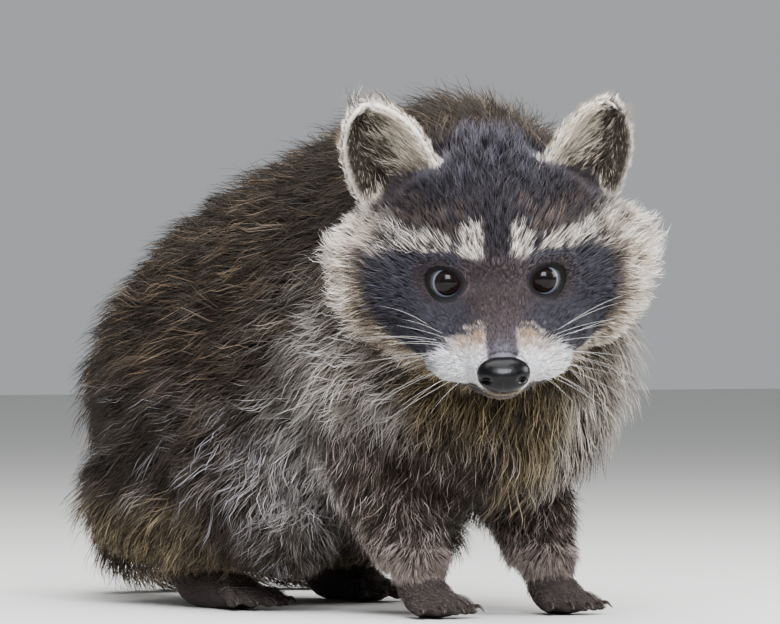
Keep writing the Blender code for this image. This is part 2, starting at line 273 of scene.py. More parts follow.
def remeshed(thing: Thing, voxel: float, smoothing: int) -> Thing:
    """Melts an object into one surface.

    Args:
        thing: the object, changed in place.
        voxel: size of the remesh's cells.
        smoothing: rounds of smoothing after it.

    Returns:
        The same object.
    """
    remesh = thing.modifiers.new("one_surface", "REMESH")
    remesh.mode = "VOXEL"
    remesh.voxel_size = voxel * MM
    smooth = thing.modifiers.new("soften", "SMOOTH")
    smooth.factor = 0.5
    smooth.iterations = smoothing
    graph = bpy.context.evaluated_depsgraph_get()
    graph.update()
    mesh = bpy.data.meshes.new_from_object(thing.evaluated_get(graph))
    thing.modifiers.clear()
    thing.data = mesh
    return thing


@dataclass(frozen=True)
class Curve:
    """A value that follows another one through knots, straight between them."""

    at: tuple[float, ...]
    value: tuple[float, ...]

    def __call__(self, places: Array) -> Array:
        """The curve's values at these places."""
        return np.interp(places, self.at, self.value)


# ------------------------------------------------------------------ places on the animal


class Part(Enum):
    """The animal's parts, by the names of their solids."""

    HEAD = "head"
    NECK = "neck"
    TRUNK = "trunk"
    EAR_LEFT = "ear_left"
    EAR_RIGHT = "ear_right"
    FORELEG_LEFT = "foreleg_left"
    FORELEG_RIGHT = "foreleg_right"
    HINDLEG_LEFT = "hindleg_left"
    HINDLEG_RIGHT = "hindleg_right"
    FOREPAW_LEFT = "forepaw_left"
    FOREPAW_RIGHT = "forepaw_right"
    HINDPAW_LEFT = "hindpaw_left"
    HINDPAW_RIGHT = "hindpaw_right"
    TAIL_ROOT = "tail_root"
    TAIL_BEND = "tail_bend"
    TAIL_END = "tail_end"


PARTS = list(Part)
EARS = (Part.EAR_LEFT, Part.EAR_RIGHT)
FOREPAWS = (Part.FOREPAW_LEFT, Part.FOREPAW_RIGHT)
PAWS = (*FOREPAWS, Part.HINDPAW_LEFT, Part.HINDPAW_RIGHT)
FORELEGS = (Part.FORELEG_LEFT, Part.FORELEG_RIGHT)
HINDLEGS = (Part.HINDLEG_LEFT, Part.HINDLEG_RIGHT)
TAIL = (Part.TAIL_ROOT, Part.TAIL_BEND, Part.TAIL_END)
BODY = (Part.HEAD, Part.NECK, Part.TRUNK, *FORELEGS, *HINDLEGS, *TAIL)


def is_one_of(labels: Array, *parts: Part) -> Array:
    """Which labels, as indices in PARTS, name one of these parts."""
    return np.isin(labels, [PARTS.index(part) for part in parts])


def middle(node: str) -> Vector:
    """The middle of a solid's box, in metres."""
    low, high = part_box(node)
    return (low + high) / 2


def between_eyes() -> Vector:
    """The middle between the eyes' solids, in metres."""
    return (middle("eye_left") + middle("eye_right")) / 2


@dataclass
class Head:
    """The head's own frame: x to its left, y to its back, z up, from between the eyes."""

    matrix: Matrix = field(init=False)
    origin: Array = field(init=False)
    axes: Array = field(init=False)
    nose: Array = field(init=False)
    eyes: Array = field(init=False)

    def __post_init__(self) -> None:
        """Finds the frame from the eyes' and the nose's solids."""
        yaw, pitch, roll = (Matrix.Rotation(math.radians(angle), 4, axis)
                            for angle, axis in zip(HEAD_TURN, "ZXY"))
        turn = yaw @ pitch @ roll
        start = between_eyes() + turn @ Vector((0, EYE_FORWARD * MM, 0))
        self.matrix = Matrix.Translation(start) @ turn
        self.origin = np.array(start)
        self.axes = np.array(turn.to_3x3())
        self.nose = self.local(np.array([middle("nose")]))[0]
        self.eyes = self.local(np.array([middle("eye_right"), middle("eye_left")])) + EYE_SHIFTS

    def local(self, points: Array) -> Array:
        """World points, in metres, as the head's own millimetres."""
        return (points - self.origin) @ self.axes / MM

    def world(self, points: Array) -> Array:
        """The head's own millimetres as world points in metres."""
        return points * MM @ self.axes.T + self.origin

    def place(self, x: float, y: float, z: float) -> Vector:
        """One of the head's own points, in metres in the row frame."""
        return self.matrix @ (Vector((x, y, z)) * MM)

    def eye_gap(self, own: Array) -> Array:
        """From the head's own points to the middle of the nearer eye."""
        return np.min([np.linalg.norm(own - eye, axis=1) for eye in self.eyes], axis=0)


@dataclass
class Ear:
    """One upright cupped ear, and its own frame: x outwards, y to the back, z to the tip."""

    head: Head
    side: int
    seat: Triple = (36.3, 34.0, 36.0)
    aside: float = -1.0  # both ears sit this far to the animal's right
    lean: float = 20.0
    swing: float = 12.0
    half_height: float = 23.5
    half_width: float = 16.2
    cup: float = 8.5
    thickness: float = 2.0

    @property
    def part(self) -> Part:
        """The ear's solid."""
        return Part.EAR_LEFT if self.side > 0 else Part.EAR_RIGHT

    def matrix(self) -> Matrix:
        """From the ear's own frame to the row frame."""
        lean = Matrix.Rotation(math.radians(self.side * self.lean), 4, "Y")
        swing = Matrix.Rotation(math.radians(self.side * self.swing), 4, "Z")
        seat = Vector((self.side * self.seat[0] + self.aside, *self.seat[1:])) * MM
        return self.head.matrix @ Matrix.Translation(seat) @ lean @ swing

    def axes(self) -> Array:
        """The ear's axes in the row frame, as columns."""
        return np.array(self.matrix().to_3x3())

    def facing(self, normals: Array) -> Array:
        """How far directions point out of the ear's hollow, from -1 to 1."""
        return -(normals @ self.axes()[:, 1])

    def width_at(self, height: Array) -> Array:
        """Half width of the ear at a height from -1 at its root to 1 at its tip.

        Args:
            height: any heights.

        Returns:
            Half widths.
        """
        upper = np.clip((height + 0.25) / 1.25, 0.0, 1.0)
        lower = np.clip((-0.25 - height) / 0.75, 0.0, 1.0)
        return self.half_width * (1 - upper**2.4) ** 0.62 * (1 - 0.2 * lower**2) + 0.3

    def local(self, points: Array) -> tuple[Array, Array, Array]:
        """Place of world points on the ear.

        Args:
            points: world points in metres.

        Returns:
            How far out from -1 to 1, how high from -1 to 1, and how far back.
        """
        back = np.array(self.matrix().inverted())
        own = (points @ back[:3, :3].T + back[:3, 3]) / MM
        high = own[:, 2] / self.half_height
        return own[:, 0] * self.side / self.width_at(np.clip(high, -1, 0.97)), high, own[:, 1]

    def front(self, across: Array, high: Array) -> Array:
        """How far back the shell's front lies at a place on the ear."""
        fold = self.cup * np.abs(across) ** 2.2 * (1.0 - 0.35 * np.maximum(high, 0.0))
        return 3.4 - fold - 2.2 * np.maximum(high, 0.0) ** 2

    def holds(self, points: Array) -> Array:
        """Tells which points lie on this ear's shell.

        Args:
            points: world points in metres.

        Returns:
            True or false for each.
        """
        across, high, back = self.local(points)
        behind = back - self.front(np.clip(across, -1.0, 1.0), high)
        beside = (np.abs(across) < 1.2) | ((high > 0.6) & (np.abs(across) < 6.0))
        return beside & (high > -0.95) & (high < 1.25) & (np.abs(behind) < 4.0)

    def build(self) -> Form:
        """Shapes the ear's cupped shell.

        Returns:
            A closed bmesh.
        """
        form = bmesh.new()
        bmesh.ops.create_grid(form, x_segments=18, y_segments=26, size=1.0)
        for vert in form.verts:
            across, high = vert.co.x, vert.co.y
            wide = float(self.width_at(np.array(min(high, 0.985))))
            vert.co = Vector((across * wide * self.side, float(self.front(across, high)),
                              high * self.half_height)) * MM
        bmesh.ops.recalc_face_normals(form, faces=form.faces)
        bmesh.ops.solidify(form, geom=form.faces[:], thickness=self.thickness * MM)
        bmesh.ops.recalc_face_normals(form, faces=form.faces)
        bmesh.ops.transform(form, matrix=self.matrix(), verts=form.verts)
        return form


@dataclass(frozen=True)
class Toe:
    """One toe: where it starts, its bend, its tip and the way it points."""

    root: Vector
    joint: Vector
    tip: Vector
    way: Vector


@dataclass
class Paw:
    """One paw flat on the floor, with five toes."""

    part: Part
    length: float
    palm: float  # share of the length behind the toes' roots
    toe_share: float
    toe_radius: float
    ankle: tuple[Triple, ...]  # (place behind, height, radius) down the ankle and along the sole
    pad: tuple[float, float, Triple]  # place behind, height and half sizes
    toe_gap: float = 4.4
    toe_spread: float = 9.0  # degrees from one toe to the next
    ankle_ahead: float = 12.0  # from the heel to the middle of the ankle

    def origin(self) -> tuple[float, float]:
        """The paw's middle along X and its heel along Y."""
        return middle(self.part.value).x / MM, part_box(self.part.value)[1].y / MM - 1.0

    def toes(self) -> list[Toe]:
        """The five toes, spread like a hand.

        Returns:
            The toes from side to side.
        """
        x, heel = self.origin()
        found = []
        for toe in range(-2, 3):
            spread = math.radians(toe * self.toe_spread)
            way = Vector((math.sin(spread), -math.cos(spread), 0.0))
            reach = self.length * self.toe_share * (1.0 - 0.055 * toe * toe)
            root = Vector((x + toe * self.toe_gap, heel - self.length * self.palm
                           + abs(toe) * 1.3, 4.6))
            joint = root + way * reach * 0.5 + Vector((0, 0, 1.6))
            tip = root + way * reach - Vector((0, 0, 1.4))
            found.append(Toe(root, joint, tip, way))
        return found

    def build(self) -> Form:
        """Joins palm or sole and toes as overlapping closed forms.

        Returns:
            A bmesh of closed forms.
        """
        form = bmesh.new()
        x, heel = self.origin()
        back = heel - self.ankle_ahead
        add_tube(form, [(x, back + y, z, radius) for y, z, radius in self.ankle])
        y, z, half = self.pad
        add_ball(form, Vector((x, back + y, z)), half)
        for toe in self.toes():
            r = self.toe_radius
            add_tube(form, [(*toe.root, r * 1.15), (*toe.joint, r), (*toe.tip, r * 0.92)], steps=3)
            add_ball(form, toe.tip, (r * 0.95, r * 1.25, r * 0.9), rings=8)
            add_ball(form, toe.joint, (r * 1.1, r * 1.15, r * 1.02), rings=8)
        return form


def paws() -> list[Paw]:
    """The four paws: short broad hands in front, long soles behind.

    Returns:
        Left and right in front, then left and right behind.
    """
    fore = dict(length=37.0, palm=0.54, toe_share=0.4, toe_radius=2.35,
                ankle=((0, 26, 7.5), (0, 16, 8.0), (-2, 9, 8.5), (-11, 6.2, 7.8)),
                pad=(-12, 5.0, (10.4, 9.5, 4.6)))
    hind = dict(length=66.0, palm=0.74, toe_share=0.225, toe_radius=2.5,
                ankle=((2, 26, 8.5), (0, 15, 8.8), (-4, 8, 8.0), (-24, 6.4, 7.8),
                       (-34, 5.6, 8.0)), pad=(-32, 4.8, (10.2, 12.0, 4.5)))
    return [Paw(part, **(fore if part in FOREPAWS else hind)) for part in PAWS]


# ------------------------------------------------------------------ surfaces as arrays


@dataclass
class Surface:
    """A mesh's points, normals, triangles and edges as arrays."""

    points: Array
    normals: Array
    triangles: Array
    edges: Array

    @classmethod
    def of(cls, mesh: bpy.types.Mesh) -> "Surface":
        """Reads a mesh.

        Args:
            mesh: any mesh.

        Returns:
            Its arrays.
        """
        mesh.calc_loop_triangles()
        return cls(read(mesh.vertices, "co", 3).astype(float),
                   read(mesh.vertex_normals, "vector", 3).astype(float),
                   read(mesh.loop_triangles, "vertices", 3, np.int32),
                   read(mesh.edges, "vertices", 2, np.int32))

    def spread(self, values: Array, rounds: int, share: float = 0.7) -> Array:
        """Evens values out between neighbouring points.

        Args:
            values: one row per point.
            rounds: how many times.
            share: how much of the neighbours' mean is taken each time.

        Returns:
            The evened values.
        """
        ends, others = self.edges.T.ravel(), self.edges[:, ::-1].T.ravel()
        count = len(self.points)
        number = np.maximum(np.bincount(ends, minlength=count), 1)
        found = values.reshape(count, -1).astype(float)
        for _ in range(rounds):
            for k in range(found.shape[1]):
                mean = np.bincount(ends, weights=found[others, k], minlength=count) / number
                found[:, k] += (mean - found[:, k]) * share
        return found.reshape(values.shape)


@dataclass
class Solids:
    """The solids of flesh and coat, for telling which part a point belongs to."""

    tree: BVHTree = field(init=False)
    owner: Array = field(init=False)

    def __post_init__(self) -> None:
        """Reads every solid once."""
        points: list[Vector] = []
        faces: list[tuple[int, ...]] = []
        owner: list[int] = []
        for index, part in enumerate(PARTS):
            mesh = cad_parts[part.value].data
            start = len(points)
            points += [vert.co.copy() for vert in mesh.vertices]
            faces += [tuple(start + k for k in face.vertices) for face in mesh.polygons]
            owner += [index] * len(mesh.polygons)
        self.tree = BVHTree.FromPolygons(points, faces)
        self.owner = np.array(owner)

    def parts_at(self, points: Array) -> Array:
        """The index in PARTS of the solid whose outside is nearest to each point."""
        found = [self.tree.find_nearest(Vector(point))[2] for point in points]
        return self.owner[np.array(found)]


def labelled(points: Array, solids: Solids, ears: list[Ear]) -> Array:
    """Tells which part each point of the skin belongs to.

    Args:
        points: world points in metres.
        solids: the solids.
        ears: the two ears.

    Returns:
        Indices in PARTS.
    """
    labels = solids.parts_at(points)
    labels[is_one_of(labels, *EARS)] = PARTS.index(Part.HEAD)
    for ear in ears:
        labels[ear.holds(points)] = PARTS.index(ear.part)
    return labels


# ------------------------------------------------------------------ the skin


@dataclass
class Skin:
    """One closed skin inside the coat, over head, body, legs, paws, ears and tail."""

    head: Head
    solids: Solids
    coarse_voxel: float = 2.4
    fine_voxel: float = 1.65
    steps: int = 5
    lift: float = 0.0002  # metres from the floor to the soles
    depths: tuple[tuple[tuple[Part, ...], float], ...] = (
        (PARTS, 12.0), ((Part.NECK,), 11.0), (HINDLEGS, 9.5), (TAIL, 10.0))
    foreleg_depth: Curve = Curve((16, 40, 70, 110), (3.0, 4.5, 7.5, 10.0))  # by height
    hindleg_depth: Curve = Curve((14, 30, 60), (3.5, 6.5, 9.5))
    face_depth: Curve = Curve((0, 25, 46, 60, 80, 100), (0.5, 0.6, 0.8, 2.4, 6.0, 9.0))
    jowl_depth: float = 4.5
    shell: BVHTree | None = None

    def depth(self, points: Array, labels: Array) -> Array:
        """Depth of the coat from the solids' outside to the skin.

        Args:
            points: world points in metres.
            labels: the part that each belongs to.

        Returns:
            One depth per point.
        """
        x, y, z = (own := self.head.local(points)).T
        far = np.linalg.norm(own - self.head.nose, axis=1)
        high = points[:, 2] / MM
        deep = np.empty(len(points))
        for parts, plain in self.depths:
            deep[is_one_of(labels, *parts)] = plain
        fore, hind, face = (is_one_of(labels, *parts)
                            for parts in (FORELEGS, HINDLEGS, (Part.HEAD,)))
        deep[fore] = self.foreleg_depth(high[fore])
        jowl = ramp(np.abs(x), 38, 50) * ramp(z, 4, -9) * ramp(y, 34, 16)
        deep[face] = self.face_depth(far[face])
        deep[face] += self.jowl_depth * jowl[face]
        deep[hind] = np.minimum(deep[hind], self.hindleg_depth(high[hind]))
        return deep

    def envelope(self) -> Thing:
        """Melts all flesh solids with nose and eyes into one coarse surface.

        Returns:
            Its object.
        """
        form = bmesh.new()
        bare = ("nose", "eye_left", "eye_right")
        for name in (*(part.value for part in BODY), *bare):
            piece = bmesh.new()
            piece.from_mesh(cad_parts[name].data)
            bmesh.ops.remove_doubles(piece, verts=piece.verts, dist=1e-6)
            piece.normal_update()
            grow = -1.0 if name in bare else 0.35
            for vert in piece.verts:
                vert.co += vert.normal * grow * MM
            add_mesh(form, piece)
        return remeshed(new_object("skin", form), self.coarse_voxel, 4)

    def inset(self, thing: Thing) -> None:
        """Draws a surface inwards by the coat's depth, in small smoothed steps.

        Args:
            thing: the object, changed in place.
        """
        surface = Surface.of(thing.data)
        labels = self.solids.parts_at(surface.points)
        deep = surface.spread(self.depth(surface.points, labels), 14)
        for _ in range(self.steps):
            step = surface.normals * (deep / self.steps * MM)[:, None]
            move_points(thing, surface.spread(surface.points - step, 1, 0.5))
            surface = Surface.of(thing.data)

    def build(self, ears: list[Ear], feet: list[Paw]) -> Thing:
        """The finished skin without its material.

        Args:
            ears: the two ears.
            feet: the four paws.

        Returns:
            The skin's object.
        """
        body = self.envelope()
        self.shell = BVHTree.FromPolygons([vert.co.copy() for vert in body.data.vertices],
                                          [tuple(face.vertices) for face in body.data.polygons])
        self.inset(body)
        with edited(body.data) as form:
            for shape in (*ears, *feet):
                add_mesh(form, shape.build())
        remeshed(body, self.fine_voxel, 3)
        self.keep_largest(body)
        self.refine(body)
        Face(self.head).sculpt(body)
        points = Surface.of(body.data).points
        points[:, 2] = np.maximum(points[:, 2], self.lift)
        move_points(body, points)
        body.data.shade_smooth()
        return body

    def room(self, points: Array, labels: Array) -> Array:
        """How deep the coat may be over the skin.

        Args:
            points: the skin's points in metres.
            labels: the part that each belongs to.

        Returns:
            Millimetres to the coat's outside.
        """
        gap = np.array([self.shell.find_nearest(Vector(point))[3] for point in points]) / MM
        gap[is_one_of(labels, *EARS)] = 1.5
        gap[is_one_of(labels, *PAWS)] = 0.8
        return np.clip(gap, 0.35, 14.0)

    def unwrap(self, thing: Thing) -> None:
        """Lays the skin out flat by its own shape, for its and the coat's textures.

        Args:
            thing: the skin's object.
        """
        thing.data.uv_layers.new(name="OFBake")
        bpy.context.view_layer.objects.active = thing
        thing.select_set(True)
        bpy.ops.object.mode_set(mode="EDIT")
        bpy.ops.mesh.select_all(action="SELECT")
        bpy.ops.uv.smart_project(angle_limit=math.radians(66), island_margin=0.002)
        bpy.ops.object.mode_set(mode="OBJECT")
        thing.select_set(False)

    def keep_largest(self, thing: Thing) -> None:
        """Drops any small loose shell, such as one left inside.

        Args:
            thing: the object, changed in place.
        """
        with edited(thing.data) as form:
            form.verts.ensure_lookup_table()
            seen, groups = set(), []
            for start in form.verts:
                if start in seen:
                    continue
                group, queue = [], [start]
                seen.add(start)
                while queue:
                    vert = queue.pop()
                    group.append(vert)
                    fresh = {edge.other_vert(vert) for edge in vert.link_edges} - seen
                    seen |= fresh
                    queue += fresh
                groups.append(group)
            groups.sort(key=len)
            loose = [vert for group in groups[:-1] for vert in group]
            bmesh.ops.delete(form, geom=loose, context="VERTS")

    def refine(self, thing: Thing) -> None:
        """Splits the skin finer over the face, and again round the eyes.

        Args:
            thing: the object, changed in place.
        """
        for round_eyes in (False, True):
            with edited(thing.data) as form:
                own = self.head.local(np.array([face.calc_center_median() for face in form.faces]))
                x, y, z = own.T
                chosen = (y < 2) & (np.abs(x) < 32) & (np.abs(z + 12) < 30)
                if round_eyes:
                    chosen = self.head.eye_gap(own - (0, -4, 0)) < 10.5
                form.faces.ensure_lookup_table()
                edges = {edge for k in np.nonzero(chosen)[0] for edge in form.faces[k].edges}
                bmesh.ops.subdivide_edges(form, edges=list(edges), cuts=1, use_grid_fill=True,
                                          smooth=0.0)


@dataclass
class Face:
    """The skin's own detail: eyelids round the eyeballs and the line of the mouth."""

    head: Head
    opening: tuple[float, float] = (6.45, 5.75)
    lid: float = 0.7
    tilt: float = 10.0
    outward: float = 12.0
    upward: float = 16.0
    half_mouth: tuple[Triple, ...] = (
        (0.0, -38.5, -27.8), (5.0, -37.5, -27.7), (9.5, -34.0, -27.5), (13.0, -28.0, -27.2),
        (16.0, -19.0, -27.0), (18.5, -8.0, -25.6))

    def eye_axes(self, side: int) -> Array:
        """Columns across, outwards and up of one eye, in the head's frame.

        Args:
            side: 1 for the left eye and -1 for the right one.

        Returns:
            A turn as a three by three matrix.
        """
        swing, pitch, roll = (Matrix.Rotation(math.radians(angle), 3, axis) for angle, axis in (
            (side * self.outward, "Z"), (-self.upward, "X"), (-side * self.tilt, "Y")))
        return np.array(swing @ pitch @ roll)

    def eye_ring(self, away: Array) -> Array:
        """How far out, from 0 at its middle to 1 at its rim, places lie on an eye's opening."""
        return np.hypot(away[:, 0] / self.opening[0], away[:, 2] / self.opening[1])

    def sculpt(self, thing: Thing) -> None:
        """Moves the skin's points round eyes and mouth.

        Args:
            thing: the skin's object, changed in place.
        """
        surface = Surface.of(thing.data)
        own = self.head.local(surface.points)
        near = surface.spread(own, 2, 0.6)
        front = (own[:, 1] < 6) & (np.abs(own[:, 0]) < 40) & (np.abs(own[:, 2] + 12) < 34)
        own[front] = near[front]
        for side, eye in zip((-1, 1), self.head.eyes):
            own = self.lids(own, eye, side)
        move_points(thing, self.head.world(self.mouth(own)))

    def lids(self, own: Array, eye: Array, side: int) -> Array:
        """Lays the skin over one eyeball, with an opening in front.

        Args:
            own: the skin's points in the head's millimetres.
            eye: the eyeball's middle.
            side: 1 for the left eye and -1 for the right one.

        Returns:
            The moved points.
        """
        axes = self.eye_axes(side)
        away = (own - eye) @ axes
        dist = np.linalg.norm(away, axis=1)
        ring = self.eye_ring(away)
        near = (away[:, 1] < 1.5) & (dist < 15.0)
        rim, inside = EYE_RADIUS + self.lid, EYE_RADIUS - 1.6
        target = inside + (rim - inside) * ramp(ring, 0.86, 1.06)
        swell = 0.35 * blob((ring, 1.25, 0.2))
        far = ramp(dist, 6.0, 11.5)
        plain = dist * far + np.maximum(dist, rim + swell) * (1 - far)
        shaped = np.where(ring < 1.15, np.minimum(target + swell, np.maximum(plain, rim)), plain)
        shaped = np.where(ring < 1.06, target, shaped)
        # the skin in front of the opening is drawn onto the eyeball from its own direction
        moved = away / np.maximum(dist, 1e-6)[:, None] * shaped[:, None]
        own = own.copy()
        own[near] = moved[near] @ axes.T + eye
        return own

    def mouth_line(self) -> Array:
        """Points of the mouth from one corner round the front to the other."""
        half = np.array(self.half_mouth)
        return np.concatenate([half[1:][::-1] * (-1, 1, 1), half])

    def mouth(self, own: Array) -> Array:
        """Presses the closed mouth's line into the skin.

        Args:
            own: the skin's points in the head's millimetres.

        Returns:
            The moved points.
        """
        line = self.mouth_line()
        dense = np.concatenate([np.linspace(a, b, 12, endpoint=False)
                                for a, b in zip(line, line[1:])] + [line[-1:]])
        close = np.nonzero((own[:, 1] < 0) & (own[:, 2] < -18) & (own[:, 2] > -38))[0]
        gap = own[close][:, None, :] - dense[None]
        flat = np.linalg.norm(gap[:, :, :2], axis=2)
        best = np.argmin(np.abs(gap[:, :, 2]) + flat * 0.35, axis=1)
        each = np.arange(len(close))
        press = blob((gap[each, best, 2], 0.0, 0.8)) * ramp(flat[each, best], 7.0, 3.0)
        inward = unit(rows(own[close, 0], own[close, 1] + 12.0, 0.0))
        own = own.copy()
        own[close] -= inward * (1.3 * press)[:, None]
        return own


# ------------------------------------------------------------------ markings


@dataclass(frozen=True)
class Hues:
    """Colours of hair and skin, as sRGB hex codes."""

    underfur: str = "1B1611"
    dark_hair: str = "1E1710"
    brown_hair: str = "392D21"
    tan_tip: str = "A3937F"
    silver_tip: str = "F4EFE8"
    blue_tip: str = "A3A4AD"
    olive: str = "66573A"
    olive_tip: str = "AD9C7A"
    rust: str = "392F29"
    rust_tip: str = "6C5A4D"
    cream: str = "73685A"
    cream_tip: str = "F0E9DD"
    # frost: pale silver, made lighter than the hair's own as painted light for the crease behind
    # the foreleg; also the forelegs' fringe
    frost: str = "7A746F"
    frost_tip: str = "F6F2EE"
    crown: str = "19171B"
    crown_low: str = "38343A"
    crown_tip: str = "5C5963"
    nape: str = "64513A"
    mask: str = "1F1E23"
    mask_tip: str = "54545F"
    dusk: str = "2A2321"
    dusk_tip: str = "5C4E50"
    lid: str = "080707"
    bridge: str = "352B2B"
    bridge_tip: str = "665A60"
    # painted sheen: bluish grey standing in for the highlight on the wet skin above the nose
    bridge_wet: str = "7C7E8C"
    pale_root: str = "4E4034"
    brow: str = "BDB3A8"
    brow_tip: str = "FFF5E8"
    cheek: str = "C8B8A4"
    cheek_tip: str = "FFF7EA"
    muzzle_root: str = "7D7975"
    muzzle: str = "D6D6D8"
    muzzle_tip: str = "FDFDFD"
    muzzle_tan: str = "927358"
    ear_rim: str = "FAF2E4"
    ear_front: str = "DFD0BA"
    ear_tip: str = "EDE2D0"
    ear_hollow: str = "1A1510"
    hollow_tip: str = "3A3024"
    ear_back: str = "4A3F36"
    ear_back_tip: str = "A38D76"
    leg: str = "5A4B44"
    leg_tip: str = "CDBEB5"
    paw: str = "2E2725"
    paw_tip: str = "7A6E68"
    tail_ring: str = "8F8474"


HUES = {name: linear(code) for name, code in vars(Hues()).items()}


@dataclass
class Paint:
    """Colours along each hair: at its root, in its middle and at its tip."""

    root: Array
    middle: Array
    tip: Array

    @classmethod
    def plain(cls, count: int, hues: str) -> "Paint":
        """One colouring for every row, from the names of its three hues."""
        return cls(*(np.repeat(HUES[name][None], count, 0) for name in hues.split()))

    def over(self, other: "Paint | str", share: Array) -> "Paint":
        """Lays another colouring over this one.

        Args:
            other: the other colouring, or the names of its three hues.
            share: how much of it each row takes.

        Returns:
            The new colouring.
        """
        if isinstance(other, str):
            other = Paint.plain(len(self.root), other)
        return Paint(mixed(self.root, other.root, share), mixed(self.middle, other.middle, share),
                     mixed(self.tip, other.tip, share))


def whisker_roots(side: int) -> list[tuple[int, int, Triple]]:
    """Row, column and place, in the head's millimetres, of each whisker beside the nose."""
    return [(row, column, (side * (10.5 + 2.6 * column + 0.6 * row), -31.0 + 4.2 * column,
                           -14.5 - 2.7 * row))
            for row in range(WHISKER_ROWS) for column in range(WHISKER_COLUMNS)]


def waves(points: Array, size: float, seed: int) -> Array:
    """Smooth irregular values from about -1 to 1.

    Args:
        points: places in metres.
        size: distance between its highs.
        seed: picks another pattern.

    Returns:
        One value per point.
    """
    rng = np.random.default_rng(seed)
    turns = unit(rng.normal(size=(7, 3))) * rng.uniform(0.7, 1.5, (7, 1)) * 2 * math.pi / size
    return np.sin(points / MM @ turns.T + rng.uniform(0, 6.28, 7)).sum(1) / 2.6


